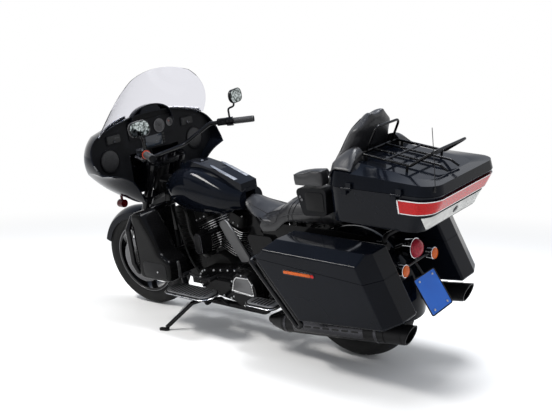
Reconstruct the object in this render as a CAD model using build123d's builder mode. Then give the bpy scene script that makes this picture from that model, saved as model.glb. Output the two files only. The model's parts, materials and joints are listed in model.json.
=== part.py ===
"""A touring cruiser motorcycle that leans on its side stand.

The machine is modelled upright in millimetres: +X forward from the rear axle, +Y to the rider's
left, +Z up from the ground. At the end its steering is turned, the whole machine is leaned over
until the foot of the side stand meets the ground, and its bounding box is centred over the origin.
"""
from build123d import *
from math import atan2, cos, degrees, radians, sin, sqrt
import os

# ---- Stance -------------------------------------------------------------------------------
LEAN = 11.2             # lean to the left on the side stand, degrees
STEER = 6.0             # steering turned to the left, degrees
RAKE = 26.0             # steering axis behind the vertical, degrees
WHEELBASE = 1625.0
AXLE_SETBACK = 15.0     # front axle behind the steering axis

# ---- Clearances ---------------------------------------------------------------------------
RUNNING = 0.05          # radial gap of a shaft in its bore
SEAT_GAP = 0.3          # gap of a piece that lies on another
SHUT_GAP = 2.0          # gap of a lid or door in its opening

# ---- Wheels -------------------------------------------------------------------------------
TYRE_R = 320.0
FRONT_TYRE_W = 130.0
REAR_TYRE_W = 180.0
FRONT_RIM_R = 216.0     # bead seat
REAR_RIM_R = 203.0
FRONT_CROWN_R = 78.0    # tread's radius across the tyre
REAR_CROWN_R = 112.0
TYRE_WALL = 11.0
RIM_WALL = 9.0
RIM_LIP = 11.0          # height of the rim's flange over the bead seat
LIP_W = 7.0
FRONT_RIM_W = 92.0      # between the flanges
REAR_RIM_W = 134.0
AXLE_R = 12.7
HUB_R = 42.0
SPOKE_PAIRS = 5
SPOKE_SPREAD = 24.0     # angle between the two spokes of a pair, degrees
SPOKE_W = 17.0
SPOKE_T = 30.0
DISC_R = 150.0
DISC_T = 5.0
DISC_HOLE_R = 62.0
FRONT_DISC_Y = 72.0     # centre plane of a front disc
REAR_DISC_Y = -86.0
PULLEY_R = 108.0
PULLEY_W = 30.0
PULLEY_Y = 108.0

# ---- Fork and handlebar -------------------------------------------------------------------
FORK_HALF = 118.0       # fork legs either side of the centre plane
SLIDER_R = 30.0
SLIDER_L = 390.0        # from the axle up
FORK_TUBE_R = 24.5
FORK_L = 745.0          # from the axle to the top of the tubes
CLAMP_LOW = 480.0       # heights of the clamps along the fork, from the axle
CLAMP_TOP = 715.0
CLAMP_T = 34.0
NECK_R = 36.0
STEM_R = 15.0
BAR_R = 12.7
GRIP_R = 18.0
GRIP_L = 125.0
GRIP_END = (957.0, 445.0, 1100.0)
FENDER_GAP = 20.0       # fender over the tyre's tread
FENDER_T = 4.0
FENDER_HALF = 78.0
FENDER_SKIRT = 62.0     # depth of the skirts below the fender's crown
FENDER_FRONT = 22.0     # fender's front tip above the horizontal through the axle, degrees
FENDER_BACK = 196.0     # its rear tip, degrees
CALIPER_R = 128.0       # radius of the caliper's centre round the axle

# ---- Frame --------------------------------------------------------------------------------
FRAME_R = 19.0
RAIL_HALF = 142.0       # lower rails either side of the centre plane
RAIL_Z = 186.0
BACKBONE_R = 32.0
SWING_PIVOT = (394.0, 330.0)
SWING_HALF = 140.0
GUARD_R = 16.0

# ---- Engine -------------------------------------------------------------------------------
CRANK = (862.0, 335.0)
CLUTCH = (575.0, 332.0)
VEE = 45.0
CASE_R = 124.0          # crankcase round the crank
BARREL_END = 262.0
HEAD_END = 330.0
ROCKER_END = 392.0
FIN_R = 76.0
BORE_R = 56.0
FIN_PITCH = 13.0
FIN_T = 5.0
CASE_HALF = 104.0       # crankcase either side of the centre plane
PRIMARY_Y = 236.0       # outer face of the clutch housing

# ---- Luggage ------------------------------------------------------------------------------
BAG_IN = 212.0          # inner wall of a saddlebag
BAG_OUT = 425.0
BAG_WALL = 4.0
SEAM = ((272.0, 622.0), (-396.0, 573.0))    # line between bag and lid, from the side
TRUNK_TILT = 2.8        # trunk lower at the rear, degrees
TRUNK_L = 560.0
TRUNK_W = 590.0
TRUNK_X = -370.0
TRUNK_SEAM_Z = 955.0
TRUNK_DEPTH = 170.0
TRUNK_WALL = 4.5
TRUNK_CORNER = 84.0
HINGE_Y = 304.0         # hinge line of the trunk's lid
HINGE_R = 6.0
RACK_R = 6.5

# ---- Body ---------------------------------------------------------------------------------
SHIELD_T = 4.5          # windshield
FAIRING_WALL = 6.0
BOARD_Z = 318.0
BOARD_T = 16.0


def side(y=0.0):
    """Plane seen from the rider's right: local x forward, local y up, at distance y to the left."""
    return Plane.XZ.offset(-y)


def across(x):
    """Plane across the machine: local x to the left, local y up."""
    return Plane.YZ.offset(x)


def tube(points, radius, bend=0.0, close=False):
    """Round tube along straight runs, joined by tangent arcs of radius bend."""
    with BuildPart() as run:
        with BuildLine() as path:
            if bend:
                FilletPolyline(*points, radius=bend, close=close)
            else:
                Polyline(*points)
        with BuildSketch(Plane(origin=path.line @ 0, z_dir=path.line % 0)):
            Circle(radius)
        sweep(path=path.line)
    return run.part


def rod(start, end, radius, hole=0.0):
    """Straight round bar between two points, or a pipe where it has a hole."""
    run = Vector(*end) - Vector(*start)
    with BuildPart() as bar:
        with BuildSketch(Plane(origin=start, z_dir=run)):
            Circle(radius)
            if hole:
                Circle(hole, mode=Mode.SUBTRACT)
        extrude(amount=run.length)
    return bar.part


def prism(plane, outline, depth, both=False):
    """Straight extrusion of a polygon."""
    with BuildPart() as block:
        with BuildSketch(plane):
            with BuildLine():
                Polyline(*outline, close=True)
            make_face()
        extrude(amount=depth, both=both)
    return block.part


# ---- Wheels -------------------------------------------------------------------------------
def axle_section(x):
    """Plane through a wheel's axle: local x along the axle, local y up, origin at its centre."""
    return Plane(origin=(x, 0, TYRE_R), x_dir=(0, 1, 0), z_dir=(1, 0, 0))


def axle_axis(x):
    return Axis((x, 0, TYRE_R), (0, 1, 0))


def tyre_outline(width, rim_r, rim_w, crown_r, inset=0.0):
    """Half ring of a tyre: bead, bulged sidewall and round tread, drawn on the axle's section."""
    tread = TYRE_R - inset
    crown = crown_r - inset
    half = width / 2 - inset
    bead = rim_w / 2 - SEAT_GAP - inset
    foot = rim_r + SEAT_GAP
    edge_r = tread - crown + sqrt(max(crown**2 - (half * 0.94) ** 2, 0))
    edge = half * 0.94
    with BuildLine() as outline:
        Line((-bead, foot), (bead, foot))
        Line((bead, foot), (bead, foot + RIM_LIP))
        ThreePointArc((bead, foot + RIM_LIP), (half, (foot + edge_r) / 2 + 14), (edge, edge_r))
        ThreePointArc((edge, edge_r), (0, tread), (-edge, edge_r))
        ThreePointArc((-edge, edge_r), (-half, (foot + edge_r) / 2 + 14), (-bead, foot + RIM_LIP))
        Line((-bead, foot + RIM_LIP), (-bead, foot))
    make_face(outline.edges())


def tyre(x, width, rim_r, rim_w, crown_r):
    with BuildPart() as ring:
        with BuildSketch(axle_section(x)):
            tyre_outline(width, rim_r, rim_w, crown_r)
        revolve(axis=axle_axis(x))
        with BuildSketch(axle_section(x)):
            tyre_outline(width, rim_r, rim_w, crown_r, TYRE_WALL)
        revolve(axis=axle_axis(x), mode=Mode.SUBTRACT)
    return ring


def rim(x, rim_r, rim_w, hub_half, discs, pulley):
    """Cast wheel: flanged hoop, paired spokes and hub, with its brake discs and belt pulley."""
    half = rim_w / 2
    with BuildPart() as wheel:
        with BuildSketch(axle_section(x)):
            with BuildLine():
                Polyline(
                    (-half - LIP_W, rim_r - RIM_WALL), (half + LIP_W, rim_r - RIM_WALL),
                    (half + LIP_W, rim_r + RIM_LIP), (half, rim_r + RIM_LIP), (half, rim_r),
                    (-half, rim_r), (-half, rim_r + RIM_LIP), (-half - LIP_W, rim_r + RIM_LIP),
                    close=True,
                )
            make_face()
        revolve(axis=axle_axis(x))
        wheel_plane = Plane(origin=(x, 0, TYRE_R), x_dir=(1, 0, 0), z_dir=(0, -1, 0))
        with BuildSketch(wheel_plane):
            with PolarLocations(0, SPOKE_PAIRS):
                with Locations(Rotation(0, 0, SPOKE_SPREAD / 2), Rotation(0, 0, -SPOKE_SPREAD / 2)):
                    with Locations(((HUB_R + rim_r - RIM_WALL) / 2, 0)):
                        Rectangle(rim_r - RIM_WALL - HUB_R + 12, SPOKE_W)
        extrude(amount=SPOKE_T / 2, both=True)
        with BuildSketch(wheel_plane):
            Circle(HUB_R)
        extrude(amount=hub_half, both=True)
        for y, radius, hole, thick in discs:
            with BuildSketch(wheel_plane.offset(-y)):
                Circle(radius)
                Circle(hole, mode=Mode.SUBTRACT)
            extrude(amount=thick / 2, both=True)
            carrier = (abs(y) + hub_half - 6) / 2
            with BuildSketch(wheel_plane.offset(-carrier if y > 0 else carrier)):
                Circle(hole + 9)
                Circle(HUB_R - 4, mode=Mode.SUBTRACT)
            extrude(amount=abs(abs(y) - hub_half + 6) / 2 + thick / 2, both=True)
        if pulley:
            with BuildSketch(wheel_plane.offset(-PULLEY_Y)):
                Circle(PULLEY_R)
            extrude(amount=PULLEY_W / 2, both=True)
        with BuildSketch(wheel_plane):
            Circle(AXLE_R + RUNNING)
        extrude(amount=REAR_TYRE_W, both=True, mode=Mode.SUBTRACT)
    return wheel


front_tyre = tyre(WHEELBASE, FRONT_TYRE_W, FRONT_RIM_R, FRONT_RIM_W, FRONT_CROWN_R)
rear_tyre = tyre(0.0, REAR_TYRE_W, REAR_RIM_R, REAR_RIM_W, REAR_CROWN_R)
FRONT_HUB_HALF = 66.0
REAR_HUB_HALF = 100.0
front_rim = rim(
    WHEELBASE, FRONT_RIM_R, FRONT_RIM_W, FRONT_HUB_HALF,
    [(s * FRONT_DISC_Y, DISC_R, DISC_HOLE_R, DISC_T) for s in (1, -1)], False,
)
rear_rim = rim(
    0.0, REAR_RIM_R, REAR_RIM_W, REAR_HUB_HALF,
    [(REAR_DISC_Y, DISC_R, DISC_HOLE_R, DISC_T)], True,
)

# ---- Steering geometry --------------------------------------------------------------------
UP_FORK = Vector(-sin(radians(RAKE)), 0, cos(radians(RAKE)))
FORWARD = Vector(cos(radians(RAKE)), 0, sin(radians(RAKE)))
FRONT_AXLE = Vector(WHEELBASE, 0, TYRE_R)
STEM_FOOT = FRONT_AXLE + FORWARD * AXLE_SETBACK


def on_fork(up, forward=0.0, y=0.0):
    """Point beside the fork: distance up the fork from the axle, and forward of the fork legs."""
    return FRONT_AXLE + UP_FORK * up + FORWARD * forward + Vector(0, y, 0)


def fork_plane(up, forward=0.0, y=0.0):
    """Plane square to the fork: local x to the left, local y backwards."""
    return Plane(origin=on_fork(up, forward, y), x_dir=(0, 1, 0), z_dir=UP_FORK)


with BuildPart() as forks:
    for s in (1, -1):
        add(rod(on_fork(-26, 0, s * FORK_HALF), on_fork(SLIDER_L, 0, s * FORK_HALF), SLIDER_R))
        add(rod(on_fork(SLIDER_L, 0, s * FORK_HALF), on_fork(FORK_L, 0, s * FORK_HALF), FORK_TUBE_R))
    for up in (CLAMP_LOW, CLAMP_TOP):
        with BuildSketch(fork_plane(up)):
            with Locations((FORK_HALF, 0), (-FORK_HALF, 0)):
                Circle(FORK_TUBE_R + 12)
            with Locations((0, -AXLE_SETBACK / 2)):
                Rectangle(2 * FORK_HALF, 58)
        extrude(amount=CLAMP_T / 2, both=True)
    add(rod(on_fork(CLAMP_LOW, AXLE_SETBACK), on_fork(CLAMP_TOP, AXLE_SETBACK), STEM_R))
    add(rod((WHEELBASE, -FORK_HALF, TYRE_R), (WHEELBASE, FORK_HALF, TYRE_R), AXLE_R))
    for s in (1, -1):
        with BuildSketch(fork_plane(CLAMP_TOP + CLAMP_T / 2, 4, s * 48)):
            Circle(21)
        extrude(amount=26)

with BuildPart() as front_fender:
    crown = TYRE_R + FENDER_GAP
    start = Plane(origin=(WHEELBASE, 0, TYRE_R), x_dir=(0, 1, 0), z_dir=(1, 0, 0))
    start = start.rotated((0, 90 - FENDER_FRONT, 0))
    with BuildSketch(start):
        with BuildLine():
            Line((-FENDER_HALF, crown - FENDER_SKIRT), (-FENDER_HALF, crown - 24))
            ThreePointArc((-FENDER_HALF, crown - 24), (0, crown + FENDER_T), (FENDER_HALF, crown - 24))
            Line((FENDER_HALF, crown - 24), (FENDER_HALF, crown - FENDER_SKIRT))
            Line((FENDER_HALF, crown - FENDER_SKIRT), (FENDER_HALF - FENDER_T, crown - FENDER_SKIRT))
            Line((FENDER_HALF - FENDER_T, crown - FENDER_SKIRT), (FENDER_HALF - FENDER_T, crown - 26))
            ThreePointArc(
                (FENDER_HALF - FENDER_T, crown - 26), (0, crown), (FENDER_T - FENDER_HALF, crown - 26)
            )
            Line((FENDER_T - FENDER_HALF, crown - 26), (FENDER_T - FENDER_HALF, crown - FENDER_SKIRT))
            Line((FENDER_T - FENDER_HALF, crown - FENDER_SKIRT), (-FENDER_HALF, crown - FENDER_SKIRT))
        make_face()
    revolve(axis=axle_axis(WHEELBASE), revolution_arc=-(FENDER_BACK - FENDER_FRONT))


def caliper(plane, disc_y):
    """Brake caliper that straddles a disc: local x of the plane is the wheel's radius."""
    with BuildPart() as body:
        with BuildSketch(plane.offset(-disc_y)):
            with Locations((11, 0)):
                RectangleRounded(84, 104, 14)
        extrude(amount=25, both=True)
        with BuildSketch(plane.offset(-disc_y)):
            with Locations((-26, 0)):
                Rectangle(108, 120)
        extrude(amount=DISC_T / 2 + 2, both=True, mode=Mode.SUBTRACT)
    return body.part


def caliper_plane(axle_x, angle):
    """Plane at the caliper's place round an axle: local x along the radius."""
    way = Vector(cos(radians(angle)), 0, sin(radians(angle)))
    return Plane(origin=Vector(axle_x, 0, TYRE_R) + way * CALIPER_R, x_dir=way, z_dir=(0, -1, 0))


with BuildPart() as brake_calipers:
    for s in (1, -1):
        seat_plane = caliper_plane(WHEELBASE, 165)
        add(caliper(seat_plane, s * FRONT_DISC_Y))
        lug = seat_plane.origin + Vector(0, s * (FRONT_DISC_Y + 16), 0)
        add(rod(lug, on_fork(110, 0, s * FORK_HALF), 10))
        add(rod(on_fork(0, 0, s * FORK_HALF), on_fork(SLIDER_L, 0, s * FORK_HALF), SLIDER_R + SEAT_GAP),
            mode=Mode.SUBTRACT)

# ---- Handlebar and mirrors ----------------------------------------------------------------
BAR_MID = on_fork(CLAMP_TOP + CLAMP_T / 2 + 26 + BAR_R + SEAT_GAP, 4)
BAR_MID_HALF = 150.0
BAR_ELBOW = (1192.0, 306.0, 1106.0)


def mirrored(point, s):
    """The same point on the left (s = 1) or right (s = -1)."""
    x, y, z = point
    return Vector(x, s * y, z)


with BuildPart() as handlebar:
    elbow = [mirrored(BAR_ELBOW, s) for s in (1, -1)]
    end = [mirrored(GRIP_END, s) for s in (1, -1)]
    add(tube(
        (end[0], elbow[0], (BAR_MID.X, BAR_MID_HALF, BAR_MID.Z),
         (BAR_MID.X, -BAR_MID_HALF, BAR_MID.Z), elbow[1], end[1]), BAR_R, 48,
    ))
    for s in (1, -1):
        tip = mirrored(GRIP_END, s)
        along = (mirrored(BAR_ELBOW, s) - tip).normalized()
        out = Vector(-along.Y, along.X, 0).normalized() * (1 if s > 0 else -1)
        out = Vector(abs(out.X), s * abs(out.Y), 0)
        add(rod(tip, tip + along * GRIP_L, GRIP_R))
        add(rod(tip + along * (GRIP_L + 2), tip + along * (GRIP_L + 42), 27))
        root = tip + along * (GRIP_L + 30)
        add(tube((root, root + out * 58 - along * 8, tip + out * 48 + along * 6), 6.5, 20))

MIRROR_AT = (1040.0, 414.0, 1252.0)
MIRROR_W = 132.0
MIRROR_H = 84.0
MIRROR_CORNER = 38.0
# Columns: depth behind the glass, share of the mirror's outline
MIRROR_SECTIONS = ((0, 1.0), (13, 0.98), (26, 0.8), (35, 0.46))


def mirror(s):
    """One mirror: a rounded case, deep at its middle, on a bent stalk over the lever's housing."""
    tip = mirrored(GRIP_END, s)
    along = (mirrored(BAR_ELBOW, s) - tip).normalized()
    foot = tip + along * (GRIP_L + 22) + Vector(0, 0, 27 + SEAT_GAP)
    head = mirrored(MIRROR_AT, s)
    glass = Plane(origin=head, x_dir=(0, 1, 0), z_dir=(1, -s * 0.14, -0.05))
    with BuildPart() as case:
        for depth, share in MIRROR_SECTIONS:
            with BuildSketch(glass.offset(depth)):
                RectangleRounded(MIRROR_W * share, MIRROR_H * share, MIRROR_CORNER * share)
        loft()
    bends = (foot, foot + Vector(0, 0, 52), head + Vector(18, -s * 18, -62), head + Vector(18, 0, -10))
    stalk = tube(bends, 6, 16)
    with BuildPart() as whole:
        add(case.part)
        add(stalk)
    return whole.part


with BuildPart() as mirrors:
    for s in (1, -1):
        add(mirror(s))

# ---- Frame --------------------------------------------------------------------------------
REAR_RAIL_HALF = 131.0
RAIL_TOP_Z = 650.0
DOWN_TUBE = (Vector(1375, 0, 862), Vector(1340, 0, 745), Vector(1322, 0, 640))
DOWN_R = 22.0
DOWN_SPLIT = DOWN_TUBE[2] + Vector(0, 0, 6)     # where the down tube forks
DOWN_FOOT = Vector(1200, 104, 262)
BOARD_BRACKETS = (1000.0, 790.0)
BRACKET_R = 9.0
NECK_LOW = CLAMP_LOW + CLAMP_T / 2 + 3
NECK_TOP = CLAMP_TOP - CLAMP_T / 2 - 3
STAND_PIVOT = Vector(925, 196, 214)
STAND_AXIS = Vector(-0.07, 0.50, 0.78).normalized()

# Sideways and up: over the folded stand on the left, under the exhaust pipe on the right
bracket_runs = {
    1: ((RAIL_HALF, RAIL_Z - 12), (205, 244), (290, 262), (290, BOARD_Z - BOARD_T - SEAT_GAP)),
    -1: ((-RAIL_HALF, RAIL_Z - 12), (-215, 160), (-290, 268), (-290, BOARD_Z - BOARD_T - SEAT_GAP)),
}

DASH_X = 1402.0         # face of the dashboard
DASH_SLOT_Z = 1032.0    # its lower edge over the fork

with BuildPart() as frame:
    add(rod(on_fork(NECK_LOW, AXLE_SETBACK), on_fork(NECK_TOP, AXLE_SETBACK), NECK_R))
    add(tube(((1375, 0, 850), (745, 0, 788), (600, 0, 672)), BACKBONE_R, 60))
    add(tube(DOWN_TUBE, DOWN_R, 60))
    for s in (1, -1):
        add(tube(
            (DOWN_SPLIT, mirrored(DOWN_FOOT, s), (1130, s * RAIL_HALF, RAIL_Z),
             (510, s * RAIL_HALF, RAIL_Z), (440, s * RAIL_HALF, 290), (440, s * RAIL_HALF, 560),
             (470, s * REAR_RAIL_HALF, RAIL_TOP_Z), (-300, s * REAR_RAIL_HALF, RAIL_TOP_Z)), FRAME_R, 55,
        ))
        add(rod((606, 0, 676), (462, s * REAR_RAIL_HALF, RAIL_TOP_Z), FRAME_R - 1))
        pivot_plate = ((452, 380), (366, 366), (360, 300), (400, 282), (452, 284))
        with BuildSketch(side(s * (SWING_HALF + 12 + SEAT_GAP))):
            with BuildLine():
                Polyline(*pivot_plate, close=True)
            make_face()
        extrude(amount=-s * 10)
        for x in BOARD_BRACKETS:
            add(tube([(x, y, z) for y, z in bracket_runs[s]], BRACKET_R, 16))
    for x in (150.0, -280.0):
        add(tube([(x, y, z) for y, z in (
            (-REAR_RAIL_HALF, RAIL_TOP_Z), (-REAR_RAIL_HALF, RAIL_TOP_Z + 44),
            (REAR_RAIL_HALF, RAIL_TOP_Z + 44), (REAR_RAIL_HALF, RAIL_TOP_Z))], 12, 30))
    add(tube(((1362, 0, 925), (1446, 0, 925), (1446, 0, 1062), (DASH_X + 8 + SEAT_GAP, 0, 1062)), 11, 22))
    add(rod((1000, -RAIL_HALF, RAIL_Z), (1000, RAIL_HALF, RAIL_Z), 14))
    add(rod((540, -RAIL_HALF, RAIL_Z), (540, RAIL_HALF, RAIL_Z), 14))
    add(rod((925, RAIL_HALF, RAIL_Z), STAND_PIVOT - STAND_AXIS * 16 - Vector(0, 20, 0), 15))
    add(rod(STAND_PIVOT - STAND_AXIS * 30, STAND_PIVOT - STAND_AXIS * (15 + SEAT_GAP), 24))
    with BuildSketch(fork_plane(NECK_LOW, AXLE_SETBACK)):
        Circle(STEM_R + RUNNING)
    extrude(amount=NECK_TOP - NECK_LOW, both=True, mode=Mode.SUBTRACT)

with BuildPart() as swingarm:
    for s in (1, -1):
        prism_plane = side(s * SWING_HALF)
        add(prism(prism_plane, (
            (SWING_PIVOT[0] + 24, SWING_PIVOT[1] + 20), (SWING_PIVOT[0], SWING_PIVOT[1] + 34),
            (-40, TYRE_R + 26), (-62, TYRE_R), (-40, TYRE_R - 26), (SWING_PIVOT[0], SWING_PIVOT[1] - 34),
            (SWING_PIVOT[0] + 24, SWING_PIVOT[1] - 20),
        ), 12, both=True))
        add(rod((85, s * 172, 365), (178, s * 172, 612), 25))
        add(rod((85, s * SWING_HALF, 365), (85, s * 172, 365), 12))
        add(rod((178, s * (REAR_RAIL_HALF + FRAME_R + SEAT_GAP), 612), (178, s * 172, 612), 12))
    pivot = Vector(SWING_PIVOT[0], SWING_HALF + 12, SWING_PIVOT[1])
    add(rod(mirrored(pivot, -1), pivot, 25))
    add(rod((0, -SWING_HALF, TYRE_R), (0, SWING_HALF, TYRE_R), AXLE_R))
    rear_seat = caliper_plane(0.0, 24)
    add(caliper(rear_seat, REAR_DISC_Y))
    add(rod(rear_seat.origin + Vector(0, REAR_DISC_Y - 18, 0), (110, -SWING_HALF, 336), 10))

BELT_T = 7.0
SPROCKET_R = 44.0
SPROCKET = (505.0, 335.0)
BELT_HALF = 12.0


def belt_outline(grow):
    """Belt's run round pulley and sprocket, grown outwards."""
    with BuildSketch(Plane.XZ) as outline:
        with Locations((0, TYRE_R)):
            Circle(PULLEY_R + SEAT_GAP + grow)
        with Locations(SPROCKET):
            Circle(SPROCKET_R + grow)
        make_hull()
    return outline.sketch


with BuildPart() as drive_belt:
    with BuildSketch(side(PULLEY_Y)):
        add(belt_outline(BELT_T))
        add(belt_outline(0), mode=Mode.SUBTRACT)
    extrude(amount=BELT_HALF, both=True)

# ---- Engine -------------------------------------------------------------------------------
with BuildPart() as engine_cases:
    with BuildSketch(side()):
        with Locations(CRANK):
            Circle(CASE_R)
        with Locations((590, 335)):
            RectangleRounded(240, 190, 34)
        with Locations((735, 318)):
            Rectangle(180, 150)
    extrude(amount=CASE_HALF, both=True)
    with BuildSketch(side()):
        with Locations((745, 230)):
            RectangleRounded(530, 52, 12)
    extrude(amount=CASE_HALF - 6, both=True)
    with BuildSketch(side(-CASE_HALF)):
        with Locations((CRANK[0], CRANK[1])):
            Circle(72)
        with Locations((CRANK[0] + 6, CRANK[1] + 66)):
            RectangleRounded(150, 60, 22)
    extrude(amount=44)
    with BuildSketch(side(PULLEY_Y - BELT_HALF - 5)):
        add(belt_outline(BELT_T + 4))
    extrude(amount=-60, mode=Mode.SUBTRACT)
    with BuildSketch(side(PULLEY_Y - BELT_HALF - 6)):
        with Locations(SPROCKET):
            Circle(SPROCKET_R - SEAT_GAP)
    extrude(amount=-2 * BELT_HALF - 6)


def cylinder(sign):
    """One finned cylinder with its head and rocker box, leaning VEE / 2 forwards or backwards."""
    lean = radians(VEE / 2) * sign
    up = Vector(sin(lean), 0, cos(lean))
    foot = Vector(CRANK[0], 0, CRANK[1])
    start = CASE_R + SEAT_GAP
    count = int((HEAD_END - start - 24) / FIN_PITCH)
    with BuildPart() as jug:
        with BuildSketch(Plane(origin=foot + up * start, z_dir=up)):
            Circle(BORE_R)
        extrude(amount=HEAD_END - start)
        for n in range(count):
            fin_foot = foot + up * (start + 22 + n * FIN_PITCH)
            with BuildSketch(Plane(origin=fin_foot, x_dir=(0, 1, 0), z_dir=up)):
                RectangleRounded(2 * FIN_R, 2 * FIN_R, 38)
            extrude(amount=FIN_T)
        with BuildSketch(Plane(origin=foot + up * HEAD_END, x_dir=(0, 1, 0), z_dir=up)):
            RectangleRounded(172, 118, 26)
        extrude(amount=ROCKER_END - HEAD_END, taper=7)
        with BuildSketch(side()):
            with Locations((CRANK[0] - sign * 300, CRANK[1] + 200)):
                Rectangle(600 - 2, 1000)
        extrude(amount=300, both=True, mode=Mode.SUBTRACT)
    return jug.part


with BuildPart() as cylinders:
    for sign in (1, -1):
        add(cylinder(sign))
    add(rod((800, 0, 600), (924, 0, 600), 24))

with BuildPart() as primary_cover:
    with BuildSketch(side(CASE_HALF)):
        with Locations((CRANK[0] + 28, CRANK[1] - 6)):
            Circle(70)
        with Locations(CLUTCH):
            Circle(108)
        make_hull()
    extrude(amount=-(190 - CASE_HALF))
    with BuildSketch(side(CASE_HALF)):
        add(belt_outline(BELT_T + 4))
    extrude(amount=-(PULLEY_Y + BELT_HALF + 4 - CASE_HALF), mode=Mode.SUBTRACT)
    with BuildSketch(side(190)):
        with Locations(CLUTCH):
            Circle(104)
    extrude(amount=-(PRIMARY_Y - 190), taper=12)

with BuildPart() as air_cleaner:
    with BuildSketch(side(-128)):
        with Locations((CRANK[0], 600)):
            Circle(92)
    extrude(amount=70, taper=6)
    add(rod((CRANK[0], -24 - SEAT_GAP, 600), (CRANK[0], -130, 600), 22))

with BuildPart() as horn_cover:
    with BuildSketch(side(140)):
        with Locations((CRANK[0] + 44, 545)):
            RectangleRounded(76, 138, 30)
    extrude(amount=-66, taper=8)
    add(tube(((CRANK[0], 24 + SEAT_GAP, 600), (CRANK[0], 100, 600), (CRANK[0] + 26, 150, 590)), 12, 20))

# ---- Exhaust ------------------------------------------------------------------------------
MUFFLER_R = 49.0
MUFFLER_FRONT = Vector(345, 262, 216)
MUFFLER_TIP = Vector(-470, 268, 302)
TIP_R = 47.0
TIP_L = 120.0
TIP_RING_L = 88.0       # plain ring at the tip's front, for a clamp
TIP_END_R = 45.5
TIP_SLASH = 40.0        # how far the tip's upper edge overhangs its end
TIP_BORE = 40.0
PIPE_R = 22.0
PIPE_Y = 187.0
with BuildPart() as exhaust:
    for s in (1, -1):
        nose = mirrored(MUFFLER_FRONT, s)
        tip = mirrored(MUFFLER_TIP, s)
        run = tip - nose
        with BuildSketch(Plane(origin=nose, z_dir=run)):
            Circle(PIPE_R + 4)
        with BuildSketch(Plane(origin=nose + run * 0.1, z_dir=run)):
            Circle(MUFFLER_R)
        loft()
        add(rod(nose + run * 0.1, tip - run.normalized() * TIP_L, MUFFLER_R))
        way = run.normalized()
        root = tip - way * TIP_L
        add(rod(root, root + way * TIP_RING_L, TIP_R, TIP_BORE))
        add(rod(root + way * TIP_RING_L, tip + way * TIP_SLASH, TIP_END_R, TIP_BORE))
    add(tube(((1062, -60, 575), (1112, -110, 520), (1060, -PIPE_Y, 204), (560, -PIPE_Y, 204),
              mirrored(MUFFLER_FRONT, -1), mirrored(MUFFLER_FRONT, -1) + Vector(-30, 0, 3)), PIPE_R, 40))
    add(tube(((700, -85, 545), (640, -120, 480), (640, -PIPE_Y, 320), (600, -PIPE_Y, 206)), PIPE_R, 40))
    add(tube(((560, -PIPE_Y, 204), (460, -215, 206), (392, -120, 200), (392, 150, 200),
              MUFFLER_FRONT + Vector(40, -12, -4), MUFFLER_FRONT + Vector(-30, 0, 3)), PIPE_R - 2, 34))

slash_half = 2 * TIP_R
with BuildPart() as tip_slash:
    with BuildSketch(side()):
        with BuildLine():
            Polyline(
                (MUFFLER_TIP.X - TIP_SLASH, MUFFLER_TIP.Z + slash_half),
                (MUFFLER_TIP.X + TIP_SLASH, MUFFLER_TIP.Z - slash_half),
                (MUFFLER_TIP.X - 200, MUFFLER_TIP.Z - slash_half),
                (MUFFLER_TIP.X - 200, MUFFLER_TIP.Z + slash_half),
                close=True,
            )
        make_face()
    extrude(amount=400, both=True)
exhaust.part = exhaust.part - tip_slash.part

# ---- Guards, boards and stand -------------------------------------------------------------
GUARD_X = 1297.0
GUARD_HALF = 372.0
down_run = (DOWN_TUBE[1] - DOWN_TUBE[2]).normalized()
down_out = Vector(-down_run.Z, 0, down_run.X)
GUARD_TOP = DOWN_TUBE[1] - down_run * 40 + down_out * (DOWN_R + GUARD_R + SEAT_GAP)
GUARD_ROOT = DOWN_SPLIT + (DOWN_FOOT - DOWN_SPLIT) * 0.66
with BuildPart() as engine_guard:
    left = [GUARD_ROOT, Vector(1258, 140, 386), Vector(GUARD_X, 196, 374), Vector(GUARD_X, 345, 372),
            Vector(GUARD_X, GUARD_HALF, 440), Vector(GUARD_X, GUARD_HALF, 640),
            Vector(GUARD_X + 8, 318, 704)]
    top = [Vector(GUARD_TOP.X, 110, GUARD_TOP.Z), Vector(GUARD_TOP.X, -110, GUARD_TOP.Z)]
    add(tube((*left, *top, *[mirrored(p, -1) for p in reversed(left)]), GUARD_R, 22))
    for s in (1, -1):
        add(rod(DOWN_SPLIT, mirrored(DOWN_FOOT, s), FRAME_R + SEAT_GAP), mode=Mode.SUBTRACT)

with BuildPart() as leg_shields:
    for s in (1, -1):
        with BuildSketch(side(s * 288)):
            with BuildLine():
                FilletPolyline(
                    (1279, 735), (1200, 742), (1118, 610), (1078, 512), (1004, 470), (1004, 352),
                    (1279, 345), radius=26, close=True,
                )
            make_face()
        extrude(amount=74, both=True)
    fillet(leg_shields.part.edges().filter_by(GeomType.LINE).filter_by(Axis.Y, reverse=True), 12)

BOARD_L = 350.0
BOARD_W = 138.0
with BuildPart() as floorboards:
    for s in (1, -1):
        with BuildSketch(Plane.XY.offset(BOARD_Z - BOARD_T)):
            with Locations((880, s * 330)):
                RectangleRounded(BOARD_L, BOARD_W, 60)
            with Locations((385, s * 290)):
                RectangleRounded(200, 96, 40)
        extrude(amount=BOARD_T)
        add(rod((385, s * (SWING_HALF + 12 + 10 + 2 * SEAT_GAP), 307), (385, s * 270, 307), 9))
    add(tube(((980, 246, 380), (880, 246, 352), (772, 246, 380)), 8, 60))
    for x, y, z in ((980, 246, 380), (772, 246, 380)):
        add(rod((x, y - 8, z), (x, y + 44, z), 12))
    add(rod((880, 190 + SEAT_GAP, 354), (880, 250, 354), 10))
    add(rod((975, -215, 380), (975, -300, 380), 14))
    add(tube(((975, -225, 380), (940, -225, 340), (900, -225, 330), (900, -225, BOARD_Z - 8)), 9, 14))
    add(rod((900, -225, BOARD_Z - 8), (900, -290, BOARD_Z - 8), 7))

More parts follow.
